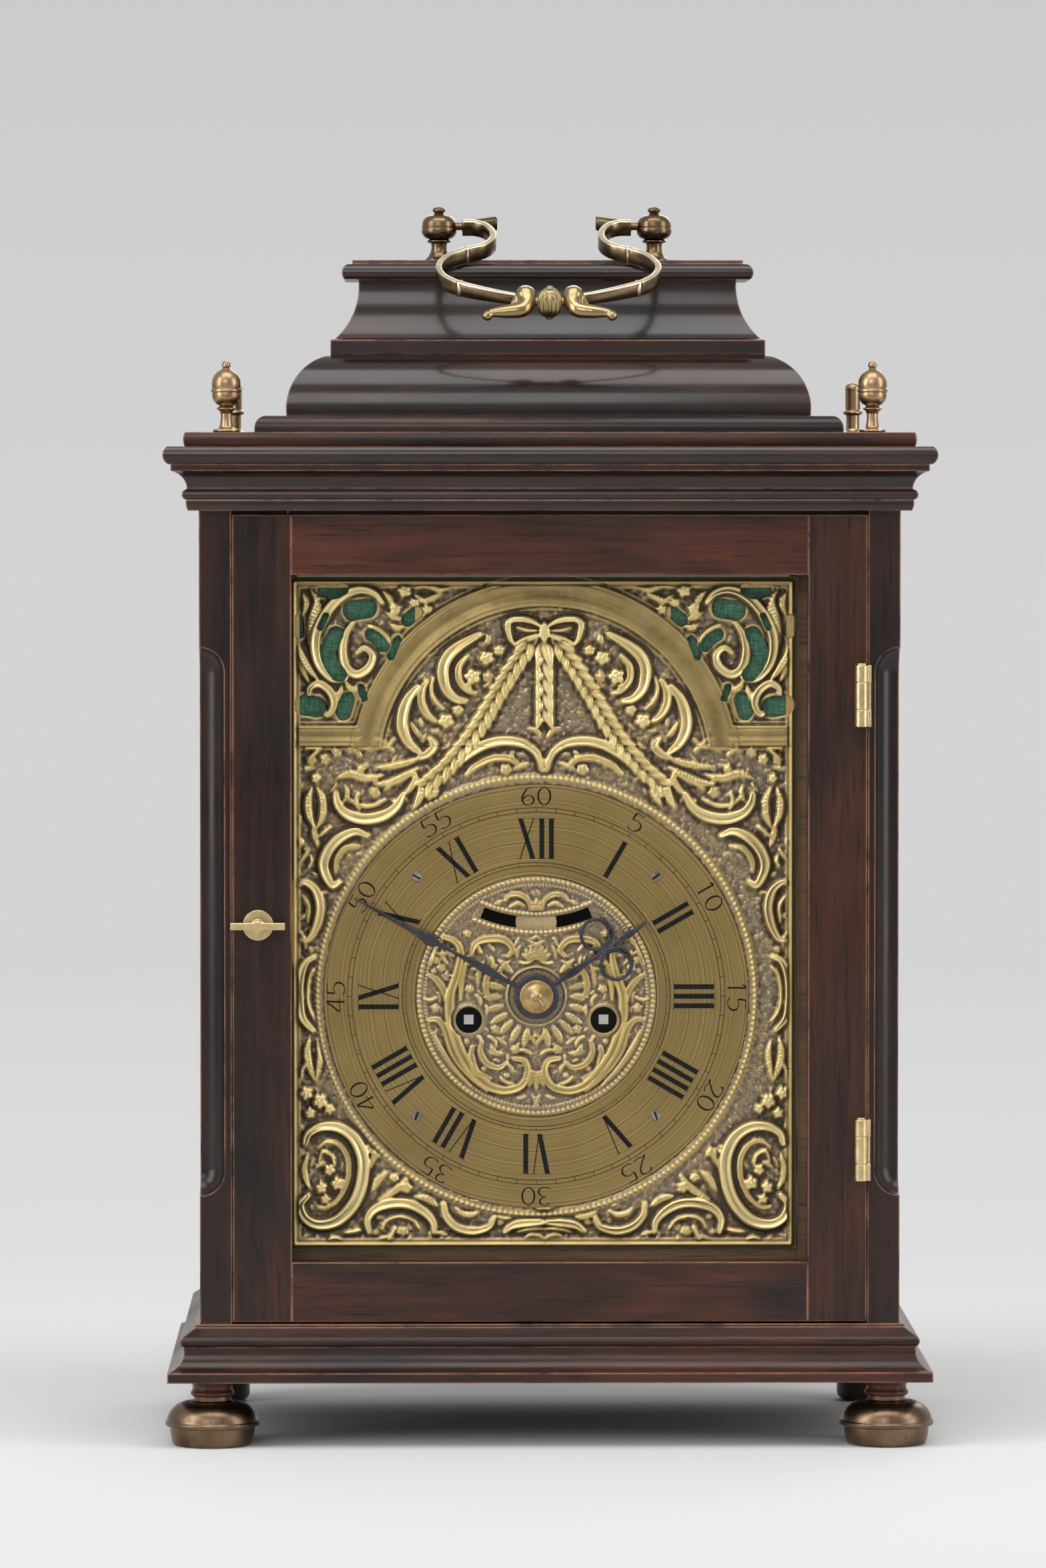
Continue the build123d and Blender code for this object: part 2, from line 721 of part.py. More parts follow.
with BuildPart() as ring_screws:
    with BuildSketch(dial_plane(dial_y - ring_t)):
        with PolarLocations(ring_screw_r, 4, start_angle=45):
            Circle(screw_head_r)
    extrude(amount=screw_head_t)

with BuildPart() as dial_cloth:
    for hand in (-1, 1):
        middle = plate_x + hand * corner_x
        block(
            middle - cloth_w / 2 - cloth_lap, middle + cloth_w / 2 + cloth_lap,
            plate_back, plate_back + cloth_t,
            corner_z - cloth_h / 2 - cloth_lap, corner_z + cloth_h / 2 + cloth_lap,
        )

# Four strips that close the gap between the dial and the case; they stay a hair apart at the corners
with BuildPart() as dial_mask:
    for x0, x1 in ((-inner_w, plate_x - plate_w / 2 - mask_gap), (plate_x + plate_w / 2 + mask_gap, inner_w)):
        block(x0, x1, dial_y, dial_y + mask_t, case_z0, case_z1)
    for z0, z1 in ((case_z0, plate_z0 - mask_gap), (plate_top + mask_gap, case_z1)):
        block(
            plate_x - plate_w / 2 - 0.1, plate_x + plate_w / 2 + 0.1, dial_y, dial_y + mask_t, z0, z1,
        )

# Movement: two plates on turned pillars, standing on the seat board; feet carry the dial
mov_x0 = dial_x - mov_w / 2
mov_x1 = dial_x + mov_w / 2
mov_z1 = mov_z0 + mov_h
pillar_places = [
    (x, z)
    for x in (mov_x0 + pillar_in, mov_x1 - pillar_in)
    for z in (mov_z0 + pillar_in, mov_z1 - pillar_in)
]
third_up = (third_reach ** 2 - escape_reach ** 2 + escape_up ** 2) / (2 * escape_up)
third_x = sqrt(third_reach ** 2 - third_up ** 2)
third_z = dial_z + third_up
escape_z = dial_z + escape_up
hammer_x = dial_x + bell_r + hammer_gap + hammer_head_len - 2.7
hammer_z = case_z0 + hammer_up
train_arbors = ((dial_x + third_x, third_z), (dial_x, escape_z), (hammer_x, hammer_z))

with BuildPart() as front_plate:
    block(mov_x0, mov_x1, front_plate_y, front_plate_y + mov_plate_t, mov_z0, mov_z1)
    rod_y(dial_x, dial_z, front_plate_y - 1, front_plate_y + 4, arbor_r + run, Mode.SUBTRACT)
    for x in wind_xs:
        rod_y(x, wind_z, front_plate_y - 1, front_plate_y + 4, wind_arbor_r + run, Mode.SUBTRACT)
    rod_y(dial_x, pallet_z, front_plate_y - 1, front_plate_y + 4, pallet_arbor_r + run, Mode.SUBTRACT)
    for x, z in train_arbors:
        rod_y(x, z, front_plate_y + 1, front_plate_y + 4, train_pivot_r + run, Mode.SUBTRACT)
    rod_y(dial_x, dial_z - motion_reach, front_plate_y, front_plate_y - 10.2, stud_r)

with BuildPart() as back_plate:
    block(mov_x0, mov_x1, back_plate_y, mov_back, mov_z0, mov_z1)
    rod_y(dial_x, dial_z, back_plate_y - 1, mov_back + 1, arbor_r + run, Mode.SUBTRACT)
    for x in wind_xs:
        rod_y(x, wind_z, back_plate_y - 1, mov_back + 1, wind_pivot_r + run, Mode.SUBTRACT)
    rod_y(dial_x, pallet_z, back_plate_y - 1, mov_back + 1, pallet_arbor_r + run, Mode.SUBTRACT)
    for x, z in train_arbors:
        rod_y(x, z, back_plate_y - 1, back_plate_y + 1.5, train_pivot_r + run, Mode.SUBTRACT)

with BuildPart() as movement_pillars:
    for x, z in pillar_places:
        rod_y(x, z, front_plate_y + mov_plate_t, back_plate_y, pillar_r)
        rod_y(x, z, plate_back, front_plate_y, dial_foot_r)

with BuildPart() as seat_board:
    block(-inner_w, inner_w, plate_back + 8, seat_back, mov_z0 - seat_t, mov_z0)
    for hand in (-1, 1):
        block(
            hand * inner_w, hand * (inner_w - 14), plate_back + 8, seat_back,
            mov_z0 - seat_t - 16, mov_z0 - seat_t,
        )


def teeth_at(x, z, teeth, module, phase, y0, y1, tip=0.9, root=1.15):
    """A spur wheel between y0 and y1; one tooth points at phase degrees, clockwise from twelve."""
    pitch_r = module * teeth / 2
    step = 2 * pi / teeth
    points = []
    for tooth in range(teeth):
        middle = radians(90 - phase) + tooth * step
        for radius, share in ((-root, -0.23), (tip, -0.11), (tip, 0.11), (-root, 0.23)):
            angle = middle + share * step
            far = pitch_r + radius * module
            points.append((far * cos(angle), far * sin(angle)))
    with BuildSketch(dial_plane(y1, x=x, z=z)) as wheel:
        with BuildLine() as rim:
            Polyline(*points, close=True)
        make_face(rim.edges())
    extrude(wheel.sketch, amount=y1 - y0)


def aim(x0, z0, x1, z1):
    """Direction from one arbor to another, clockwise from twelve."""
    return degrees(atan2(x1 - x0, z1 - z0))


# Tooth counts; each module follows from its pair's centre distance
great_teeth, centre_leaves = 96, 8
centre_teeth, third_leaves = 84, 7
third_teeth, escape_leaves = 77, 6
escape_teeth = 30
cannon_teeth, minute_teeth = 40, 40
minute_leaves, hour_teeth = 8, 96
great_m = 2 * wind_reach / (great_teeth + centre_leaves)
centre_m = 2 * third_reach / (centre_teeth + third_leaves)
third_m = 2 * escape_reach / (third_teeth + escape_leaves)
cannon_m = 2 * motion_reach / (cannon_teeth + minute_teeth)
hour_m = 2 * motion_reach / (minute_leaves + hour_teeth)
third_at = (dial_x + third_x, third_z)

# Barrels on their winding arbors; the going great wheel drives the centre pinion
going_wheel_y = front_plate_y + mov_plate_t + 2.0
drum_y0 = going_wheel_y + wheel_t
drum_y1 = drum_y0 + drum_len
strike_wheel_y = drum_y1
with BuildPart() as going_barrel:
    rod_y(wind_xs[1], wind_z, drum_y0, drum_y1, barrel_r)
    teeth_at(
        wind_xs[1], wind_z, great_teeth, great_m, aim(wind_xs[1], wind_z, dial_x, dial_z),
        going_wheel_y, drum_y0,
    )
    rod_y(wind_xs[1], wind_z, drum_y0 + drum_wall, drum_y1 - drum_wall, barrel_r - drum_wall, Mode.SUBTRACT)
    rod_y(wind_xs[1], wind_z, going_wheel_y - 1, drum_y1 + 1, wind_arbor_r + run, Mode.SUBTRACT)

with BuildPart() as strike_barrel:
    rod_y(wind_xs[0], wind_z, drum_y0, drum_y1, barrel_r)
    teeth_at(
        wind_xs[0], wind_z, great_teeth, great_m, aim(wind_xs[0], wind_z, dial_x, dial_z) - 30,
        strike_wheel_y, strike_wheel_y + wheel_t,
    )
    rod_y(wind_xs[0], wind_z, drum_y0 + drum_wall, drum_y1 - drum_wall, barrel_r - drum_wall, Mode.SUBTRACT)
    rod_y(wind_xs[0], wind_z, going_wheel_y - 1, drum_y1 + 3, wind_arbor_r + run, Mode.SUBTRACT)


def winding_arbor(x):
    """A square-ended arbor with its spring hook and ratchet wheel."""
    with BuildPart() as arbor:
        half = wind_square / 2
        block(x - half, x + half, plate_back + 0.5, front_plate_y - 3.4, wind_z - half, wind_z + half)
        rod_y(x, wind_z, front_plate_y - 3.6, strike_wheel_y + 3.0, wind_arbor_r)
        rod_y(x, wind_z, strike_wheel_y + 3.0, mov_back - end_shake, wind_pivot_r)
        rod_y(x, wind_z, drum_y0 + drum_wall + 0.5, drum_y1 - drum_wall - 0.5, spring_hook_r)
        teeth_at(x, wind_z, 24, 0.72, 0, front_plate_y - 2.4, front_plate_y - 0.6)
    return arbor


going_winding_arbor = winding_arbor(wind_xs[1])
strike_winding_arbor = winding_arbor(wind_xs[0])

# Going train
centre_wheel_y = strike_wheel_y + 4.6
third_wheel_y = centre_wheel_y + 7.0
escape_wheel_y = third_wheel_y + 4.6
pivot_y0 = front_plate_y + 1 + end_shake
pivot_y1 = back_plate_y + 1.5 - end_shake
with BuildPart() as centre_arbor:
    rod_y(dial_x, dial_z, dial_y - 5.2, mov_back - end_shake, arbor_r)
    teeth_at(
        dial_x, dial_z, centre_leaves, great_m, aim(dial_x, dial_z, wind_xs[1], wind_z) + 180 / centre_leaves,
        going_wheel_y - 0.8, drum_y0 + 0.8, 0.8, 1.1,
    )
    teeth_at(
        dial_x, dial_z, centre_teeth, centre_m, aim(dial_x, dial_z, *third_at),
        centre_wheel_y, centre_wheel_y + 1.6,
    )

with BuildPart() as third_arbor:
    rod_y(*third_at, pivot_y0, pivot_y1, train_pivot_r)
    teeth_at(
        *third_at, third_leaves, centre_m, aim(*third_at, dial_x, dial_z) + 180 / third_leaves,
        centre_wheel_y - 1.0, centre_wheel_y + 2.6, 0.8, 1.1,
    )
    teeth_at(
        *third_at, third_teeth, third_m, aim(*third_at, dial_x, escape_z),
        third_wheel_y, third_wheel_y + 1.4,
    )

with BuildPart() as escape_arbor:
    rod_y(dial_x, escape_z, pivot_y0, pivot_y1, train_pivot_r)
    teeth_at(
        dial_x, escape_z, escape_leaves, third_m, aim(dial_x, escape_z, *third_at) + 180 / escape_leaves,
        third_wheel_y - 1.0, third_wheel_y + 2.4, 0.8, 1.1,
    )
    teeth_at(
        dial_x, escape_z, escape_teeth, 2 * escape_r / escape_teeth, 0,
        escape_wheel_y, escape_wheel_y + 1.2, 0, 3.0,
    )

# Motion work behind the dial: cannon wheel, minute wheel with its pinion, hour wheel
cannon_y = front_plate_y - 3.6
hour_wheel_y = cannon_y - 5.0
minute_hand_y = dial_y - 4.6
hour_hand_y = dial_y - 2.9
with BuildPart() as cannon_wheel:
    rod_y(dial_x, dial_z, minute_hand_y - hand_t, front_plate_y - end_shake, cannon_pipe_r)
    teeth_at(
        dial_x, dial_z, cannon_teeth, cannon_m, 180, cannon_y, cannon_y + 1.6,
    )
    rod_y(dial_x, dial_z, minute_hand_y - 2, front_plate_y, arbor_r + run, Mode.SUBTRACT)

with BuildPart() as minute_wheel:
    rod_y(dial_x, dial_z - motion_reach, hour_wheel_y - 0.8, front_plate_y - end_shake, minute_pipe_r)
    teeth_at(
        dial_x, dial_z - motion_reach, minute_teeth, cannon_m, 180 / minute_teeth,
        cannon_y, cannon_y + 1.6,
    )
    teeth_at(
        dial_x, dial_z - motion_reach, minute_leaves, hour_m, 0,
        hour_wheel_y - 0.8, cannon_y, 0.8, 1.1,
    )
    rod_y(dial_x, dial_z - motion_reach, hour_wheel_y - 2, front_plate_y, stud_r + run, Mode.SUBTRACT)

with BuildPart() as hour_wheel:
    rod_y(dial_x, dial_z, hour_hand_y - hand_t, hour_wheel_y + 1.6, hour_pipe_r)
    teeth_at(
        dial_x, dial_z, hour_teeth, hour_m, 180 + 180 / hour_teeth,
        hour_wheel_y, hour_wheel_y + 1.6,
    )
    rod_y(dial_x, dial_z, hour_hand_y - 2, hour_wheel_y + 3, cannon_pipe_r + run, Mode.SUBTRACT)

# Hands, lying at ten to two
with BuildPart() as minute_hand:
    with BuildSketch(dial_plane(minute_hand_y, minute_angle)):
        Circle(9.1)
        with BuildLine():
            Polyline((-1.6, 8.0), (-2.4, 20.0), (-1.1, 30.0), (-1.0, 43.0), (-3.4, 48.5), (-1.4, 54.0),
                     (-0.5, minute_len), (0.5, minute_len), (1.4, 54.0), (3.4, 48.5), (1.0, 43.0),
                     (1.1, 30.0), (2.4, 20.0), (1.6, 8.0), close=True)
        make_face()
        Circle(cannon_pipe_r + run, mode=Mode.SUBTRACT)
    extrude(amount=hand_t)

open_rings = [(hand * out, up) for out, up in ((4.4, 34.0), (4.0, 20.0)) for hand in (-1, 1)]
with BuildPart() as hour_hand:
    with BuildSketch(dial_plane(hour_hand_y, hour_angle)):
        Circle(6.6)
        with BuildLine():
            Polyline((-1.7, 5.0), (-1.3, hour_len - 16), (-4.6, hour_len - 10), (0, hour_len),
                     (4.6, hour_len - 10), (1.3, hour_len - 16), (1.7, 5.0), close=True)
        make_face()
        with Locations(*open_rings):
            Ellipse(3.6, 6.4)
            Ellipse(2.2, 4.8, mode=Mode.SUBTRACT)
        Circle(hour_pipe_r + run, mode=Mode.SUBTRACT)
    extrude(amount=hand_t)

with BuildPart() as hand_collet:
    rod_y(dial_x, dial_z, minute_hand_y - hand_t - 1.2, minute_hand_y - hand_t, 6.0)
    rod_y(dial_x, dial_z, minute_hand_y - 4, minute_hand_y, arbor_r + run, Mode.SUBTRACT)

# Pendulum with its pallets on one arbor; the false bob hangs from the arbor's front end
false_bob_y = plate_back + 2.0
pallet_reach = sqrt((pallet_z - escape_z) ** 2 - escape_r ** 2)
pallet_clear = pallet_reach * sin(radians(pendulum_swing)) + 0.2
with BuildPart() as pendulum:
    rod_y(dial_x, pallet_z, false_bob_y, pendulum_y + 1.5, pallet_arbor_r)
    rod_z(dial_x, pendulum_y, pallet_z - pendulum_len, pallet_z, pendulum_rod_r)
    for hand in (-1, 1):
        foot = polar(escape_r + pallet_clear + pallet_tip_r, hand * pallet_half_angle)
        with BuildSketch(dial_plane(escape_wheel_y + 1.2, x=dial_x, z=escape_z)) as arm:
            with BuildLine() as spine:
                Line((0, pallet_z - escape_z), foot)
            trace(spine.edges(), line_width=2.0)
            with Locations(foot):
                Circle(pallet_tip_r)
        extrude(arm.sketch, amount=1.2)
    with Locations(Plane((dial_x, pendulum_y, pallet_z - pendulum_len), z_dir=(0, -1, 0))):
        Cylinder(bob_r, bob_t)

with BuildPart() as false_bob:
    block(
        dial_x - 1.0, dial_x + 1.0, false_bob_y, false_bob_y + 0.8,
        pallet_z - slot_r, pallet_z - pallet_arbor_r,
    )
    rod_y(dial_x, pallet_z - slot_r, plate_back + 0.6, false_bob_y, mock_bob_r)

# Bell on its post, and the hammer that strikes it from outside
with BuildPart() as bell_stand:
    block(
        dial_x - 6, dial_x + 6, front_plate_y + mov_plate_t, back_plate_y, mov_z1 - 4, mov_z1,
    )
    rod_z(dial_x, bell_y, mov_z1, bell_z0 + bell_h + 5, bell_post_r)
    rod_z(dial_x, bell_y, bell_z0 + bell_h, bell_z0 + bell_h + 4, 2 * bell_post_r)

crown_r = 0.3 * bell_r
with BuildPart() as strike_bell:
    with BuildSketch(Plane((dial_x, bell_y, 0), x_dir=(1, 0, 0), z_dir=(0, -1, 0))) as wall:
        with BuildLine() as skin:
            crown = bell_z0 + bell_h
            bore = bell_post_r + run
            SagittaArc((bell_r, bell_z0), (crown_r, crown), -8.0)
            Line((crown_r, crown), (bore, crown))
            Line((bore, crown), (bore, crown - bell_t))
            Line((bore, crown - bell_t), (crown_r - 0.7, crown - bell_t))
            SagittaArc((crown_r - 0.7, crown - bell_t), (bell_r - bell_t, bell_z0), 8.0)
            Line((bell_r - bell_t, bell_z0), (bell_r, bell_z0))
        make_face(skin.edges())
    revolve(wall.sketch, axis=Axis((dial_x, bell_y, 0), (0, 0, 1)))

with BuildPart() as hammer:
    rod_y(hammer_x, hammer_z, pivot_y0, pivot_y1, train_pivot_r)
    block(hammer_x - 1.2, hammer_x + 1.2, bell_y - 1.5, bell_y + 1.5, hammer_z, bell_z0 + 6)
    head_x = dial_x + bell_r + hammer_gap + hammer_head_len / 2
    with Locations(Plane((head_x, bell_y, bell_z0 + 3), z_dir=(1, 0, 0))):
        Cylinder(hammer_head_r, hammer_head_len)

pieces = {
    "base_board": base_board, "plinth_moulding": plinth_moulding, "left_side": left_side,
    "right_side": right_side, "top_board": top_board, "cornice_moulding": cornice_moulding,
    "step_board": step_board, "bell_base_board": bell_base_board, "bell_cushion": bell_cushion,
    "bell_neck": bell_neck, "bell_top_board": bell_top_board, "front_feet": front_feet,
    "foot_collars": foot_collars, "rear_feet": rear_feet, "finials": finials,
    "handle_knobs": handle_knobs, "carrying_handle": carrying_handle, "dial_mask": dial_mask,
    "hinge_case_leaves": hinge_case_leaves, "hinge_pins": hinge_pins, "dial_plate": dial_plate,
    "dial_relief": dial_relief, "chapter_ring": chapter_ring, "centre_disc": centre_disc,
    "ring_screws": ring_screws, "dial_cloth": dial_cloth, "front_plate": front_plate,
    "back_plate": back_plate, "movement_pillars": movement_pillars, "seat_board": seat_board,
    "strike_bell": strike_bell, "bell_stand": bell_stand, "door_stiles": door_stiles,
    "door_rails": door_rails, "door_glass": door_glass, "door_hinge_leaves": door_hinge_leaves,
    "lock_case": lock_case, "door_key": door_key, "lock_bolt": lock_bolt,
    "back_door_stiles": back_door_stiles, "back_door_rails": back_door_rails,
    "back_door_glass": back_door_glass, "back_door_hinge_leaves": back_door_hinge_leaves,
    "back_door_catch": back_door_catch, "minute_hand": minute_hand, "hand_collet": hand_collet,
    "cannon_wheel": cannon_wheel, "hour_hand": hour_hand, "hour_wheel": hour_wheel,
    "minute_wheel": minute_wheel, "centre_arbor": centre_arbor, "third_arbor": third_arbor,
    "escape_arbor": escape_arbor, "going_barrel": going_barrel, "strike_barrel": strike_barrel,
    "going_winding_arbor": going_winding_arbor, "strike_winding_arbor": strike_winding_arbor,
    "pendulum": pendulum, "false_bob": false_bob, "hammer": hammer,
}
os.makedirs("parts", exist_ok=True)
for name, piece in pieces.items():
    piece.part.label = name
    export_step(piece.part, f"parts/{name}.step")
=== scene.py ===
import json
import math

import bpy
import numpy as np
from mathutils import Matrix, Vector


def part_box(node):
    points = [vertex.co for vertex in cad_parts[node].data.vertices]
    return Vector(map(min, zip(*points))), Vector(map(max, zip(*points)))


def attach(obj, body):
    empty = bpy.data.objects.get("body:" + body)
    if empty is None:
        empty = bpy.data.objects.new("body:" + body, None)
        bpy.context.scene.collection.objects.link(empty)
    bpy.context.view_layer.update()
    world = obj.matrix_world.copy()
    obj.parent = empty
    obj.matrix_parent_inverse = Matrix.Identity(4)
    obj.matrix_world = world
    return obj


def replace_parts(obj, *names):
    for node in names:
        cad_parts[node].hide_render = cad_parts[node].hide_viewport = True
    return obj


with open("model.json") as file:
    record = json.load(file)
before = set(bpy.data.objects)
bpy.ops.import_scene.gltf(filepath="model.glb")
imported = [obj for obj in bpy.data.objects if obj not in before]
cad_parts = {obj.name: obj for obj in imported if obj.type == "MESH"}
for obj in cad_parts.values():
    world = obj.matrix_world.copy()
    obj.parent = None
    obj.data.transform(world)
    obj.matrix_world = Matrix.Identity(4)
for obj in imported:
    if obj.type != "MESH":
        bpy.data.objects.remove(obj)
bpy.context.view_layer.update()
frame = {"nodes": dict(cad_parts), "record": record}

MM = 0.001

# Places on the dial are written in pixels of the 1568 x 2350 picture: one of them, where it lies in
# millimetres, and the millimetres to a pixel
ANCHOR_U, ANCHOR_V = 622.0, 718.0
ANCHOR_X, ANCHOR_Z = -54.5, 391.4
PX = 0.27108
# The dial's middle line, and the middle of the chapter ring's picture, which stands off it
AXIS_U, RING_U = 816.0, 804.0

# The chapter ring's middle, the fronts of the dial's layers and the winding squares' ends
RING_X, RING_Z = -5.2, 181.0
PLATE_Y, RELIEF_Y, RING_Y, SILK_Y, SQUARE_Y = -60.0, -60.8, -61.6, -57.8, -56.6


def dial(u, v):
    """A pixel of the picture as x and z on the dial, in millimetres."""
    return ANCHOR_X + (u - ANCHOR_U) * PX, ANCHOR_Z - (v - ANCHOR_V) * PX


def lerp(a, b, t):
    return a + (b - a) * t


def toward(a, b, t):
    """The colour a share t of the way from a to b."""
    return tuple(lerp(p, q, t) for p, q in zip(a, b))


def dim(colour, share):
    return tuple(c * share for c in colour)


def smooth(points, step):
    """Points every step along a smooth line through the given ones."""
    p = np.array(points, float)
    p = np.vstack([2 * p[0] - p[1], p, 2 * p[-1] - p[-2]])
    out = []
    for i in range(1, len(p) - 2):
        n = max(2, int(np.linalg.norm(p[i + 1] - p[i]) / step))
        t = np.linspace(0, 1, n, endpoint=False)[:, None]
        a, b, c, d = p[i - 1], p[i], p[i + 1], p[i + 2]
        out.append(0.5 * (2 * b + (c - a) * t + (2 * a - 5 * b + 4 * c - d) * t ** 2
                          + (3 * b - a - 3 * c + d) * t ** 3))
    out.append(p[-2][None, :])
    return np.vstack(out)


def distances(line):
    """How far along the line each of its points lies."""
    return np.concatenate([[0], np.cumsum(np.linalg.norm(np.diff(line, axis=0), axis=1))])


# Materials

MAT = {}


def feed(tree, socket, source):
    """Gives a socket another node's output, a colour or a number."""
    if isinstance(source, bpy.types.NodeSocket):
        tree.links.new(source, socket)
    elif socket.type == "RGBA":
        socket.default_value = (*source, 1.0)
    else:
        socket.default_value = source


def put(tree, node, **values):
    """Sets a node's properties and inputs by name."""
    for key, value in values.items():
        if hasattr(node, key):
            setattr(node, key, value)
        else:
            feed(tree, node.inputs[key.replace("_", " ")], value)
    return node


def add(tree, kind, *sources, **values):
    """A new node: sources go to its inputs in order, values to its properties and inputs by name."""
    node = tree.nodes.new("ShaderNode" + kind)
    for socket, source in zip(node.inputs, sources):
        feed(tree, socket, source)
    return put(tree, node, **values)


def ramp(tree, source, stops):
    node = add(tree, "ValToRGB", source)
    items = node.color_ramp.elements
    while len(items) < len(stops):
        items.new(0.5)
    for item, (place, colour) in zip(items, stops):
        item.position = place
        item.color = (*colour, 1.0)
    return node.outputs["Color"]


def place_of(tree):
    return add(tree, "TexCoord").outputs["Object"]


def noise(tree, scale, detail=4.0, rough=0.55, stretch=(1, 1, 1), distort=0.0):
    place = add(tree, "Mapping", Vector=place_of(tree), Scale=stretch).outputs["Vector"]
    return add(tree, "TexNoise", Vector=place, Scale=scale, Detail=detail, Roughness=rough,
               Distortion=distort).outputs["Fac"]


def mix(tree, fac, a, b):
    node = add(tree, "Mix", fac, data_type="RGBA")
    feed(tree, node.inputs[6], a)
    feed(tree, node.inputs[7], b)
    return node.outputs[2]


def remap(tree, value, low, high, to_low=0.0, to_high=1.0):
    return add(tree, "MapRange", value, low, high, to_low, to_high).outputs["Result"]


def maths(tree, kind, a, b):
    return add(tree, "Math", a, b, operation=kind).outputs[0]


def times(tree, a, b):
    return maths(tree, "MULTIPLY", a, b)


def edge_mask(tree, radius, high):
    """Nearly 0 on a flat face and 1 on a sharp edge; also the normal of the rounded edge."""
    rounded = add(tree, "Bevel", samples=4, Radius=radius).outputs["Normal"]
    straight = add(tree, "NewGeometry").outputs["Normal"]
    same = add(tree, "VectorMath", rounded, straight, operation="DOT_PRODUCT").outputs["Value"]
    return remap(tree, maths(tree, "SUBTRACT", 1.0, same), 0.02, high), rounded


def bump(tree, shader, height, strength, distance=0.0002, normal=None):
    node = add(tree, "Bump", Strength=strength, Distance=distance, Height=height)
    if normal is not None:
        put(tree, node, Normal=normal)
    put(tree, shader, Normal=node.outputs["Normal"])


def new_material(name):
    """Files a material under its name; gives its node tree and shader."""
    MAT[name] = bpy.data.materials.new(name)
    MAT[name].use_nodes = True
    tree = MAT[name].node_tree
    return tree, tree.nodes["Principled BSDF"]


# Colour of the wood's rubbed edges: partly real wear, partly painted highlight of the light caught along the
# mouldings' edges
RUBBED_AND_HIGHLIGHT = (0.72, 0.335, 0.20)


def wood(name, along, dark, red, redness, richest=1.0, gloss=0.20, shift=0.0, coat=0.12):
    """Old stained and polished fruitwood, rubbed at its edges, with the rubbed colour pale enough to be
    partly painted highlight along the edges; along is the axis of its grain.
    """
    tree, shader = new_material(name)
    fine = tuple(4.0 if axis == along else 90.0 for axis in "xyz")
    broad = tuple(3.0 if axis == along else 14.0 for axis in "xyz")
    grain = noise(tree, 3.0, 6.0, 0.65, fine, 0.6)
    patch = noise(tree, 1.6 + shift, 3.0, 0.5, broad, 1.2)
    pores = noise(tree, 9.0, 2.0, 0.5, fine)
    stain = maths(tree, "ADD", times(tree, grain, 0.45), times(tree, patch, 0.75))
    middling, rich = toward(dark, red, redness), toward(dark, red, richest)
    body = ramp(tree, stain, [(0.44, dark), (0.60, middling), (0.76, rich)])
    body = mix(tree, remap(tree, pores, 0.56, 0.72, 0.0, 0.7), body, dim(dark, 0.35))
    edge, rounded = edge_mask(tree, 0.0012, 0.28)
    # Rubbed edges, which also carry the painted highlight
    wear_and_highlight = times(tree, edge, remap(tree, noise(tree, 55.0, 4.0, 0.7), 0.32, 0.56))
    put(tree, shader, Base_Color=mix(tree, times(tree, wear_and_highlight, 0.92), body, RUBBED_AND_HIGHLIGHT), Specular_IOR_Level=0.30,
        Roughness=remap(tree, noise(tree, 18.0, 5.0, 0.6), 0.3, 0.7, gloss, gloss + 0.20),
        Coat_Weight=coat, Coat_Roughness=0.12)
    bump(tree, shader, grain, 0.12, 0.0003, rounded)


def metal(name, base, dark, rough, grime=0.5, scale=60.0, scratch=0.08, edge=None, metallic=1.0):
    """Metal with patches and spots of tarnish; edge is the colour of its rubbed edges."""
    tree, shader = new_material(name)
    patch = noise(tree, scale, 5.0, 0.6)
    spots = noise(tree, scale * 6.0, 3.0, 0.6)
    colour = mix(tree, remap(tree, patch, 0.38, 0.66, 0.0, grime), base, dark)
    colour = mix(tree, remap(tree, spots, 0.58, 0.72, 0.0, 0.4), colour, dim(dark, 0.6))
    rounded = None
    if edge:
        rubbed, rounded = edge_mask(tree, 0.0006, 0.3)
        colour = mix(tree, times(tree, rubbed, 0.7), colour, edge)
    put(tree, shader, Base_Color=colour, Metallic=metallic,
        Roughness=remap(tree, spots, 0.3, 0.7, rough, rough + 0.12))
    bump(tree, shader, spots, scratch, 0.0002, rounded)


def embossed(name, ground, body, crest_gilt_and_highlight, olive, rough):
    """Chased sheet brass: gilt on what stands up and greyish tarnish on the ground, with painted shade in
    the hollows and a pale gilt along the ridges that is partly rubbed wear and partly painted highlight.
    """
    tree, shader = new_material(name)
    lift, crease, plain = (add(tree, "Attribute", attribute_name=key).outputs["Fac"]
                           for key in ("lift", "crease", "plain"))
    grains = noise(tree, 900.0, 3.0, 0.6)
    stain = noise(tree, 70.0, 4.0, 0.65)
    rise = maths(tree, "ADD", lift, maths(tree, "SUBTRACT", times(tree, stain, 0.5), 0.25))
    slope = toward(ground, body, 0.6)
    colour = ramp(tree, rise, [(0.02, ground), (0.22, slope), (0.42, body), (0.85, crest_gilt_and_highlight)])
    # Painted shade: the hollows of the chasing turned near black brown
    colour = mix(tree, remap(tree, crease, 0.0, -0.26, 0.0, 0.96), colour, (0.042, 0.027, 0.018))
    # Ridges lightened towards the pale gilt: partly rubbed wear, partly painted highlight
    colour = mix(tree, remap(tree, crease, 0.06, 0.5, 0.0, 0.75), colour, crest_gilt_and_highlight)
    flat = times(tree, remap(tree, lift, 0.22, 0.05), remap(tree, grains, 0.48, 0.62))
    colour = mix(tree, times(tree, flat, 0.75), colour, (0.12, 0.09, 0.065))
    tarnish = mix(tree, remap(tree, stain, 0.35, 0.65), olive, dim(olive, 0.55))
    dull = maths(tree, "ADD", remap(tree, stain, 0.3, 0.7, rough, rough + 0.14), times(tree, plain, 0.10))
    colour = mix(tree, times(tree, plain, 0.85), colour, tarnish)
    put(tree, shader, Base_Color=colour, Metallic=0.82, Roughness=dull)
    bump(tree, shader, grains, 0.28, 0.00025)


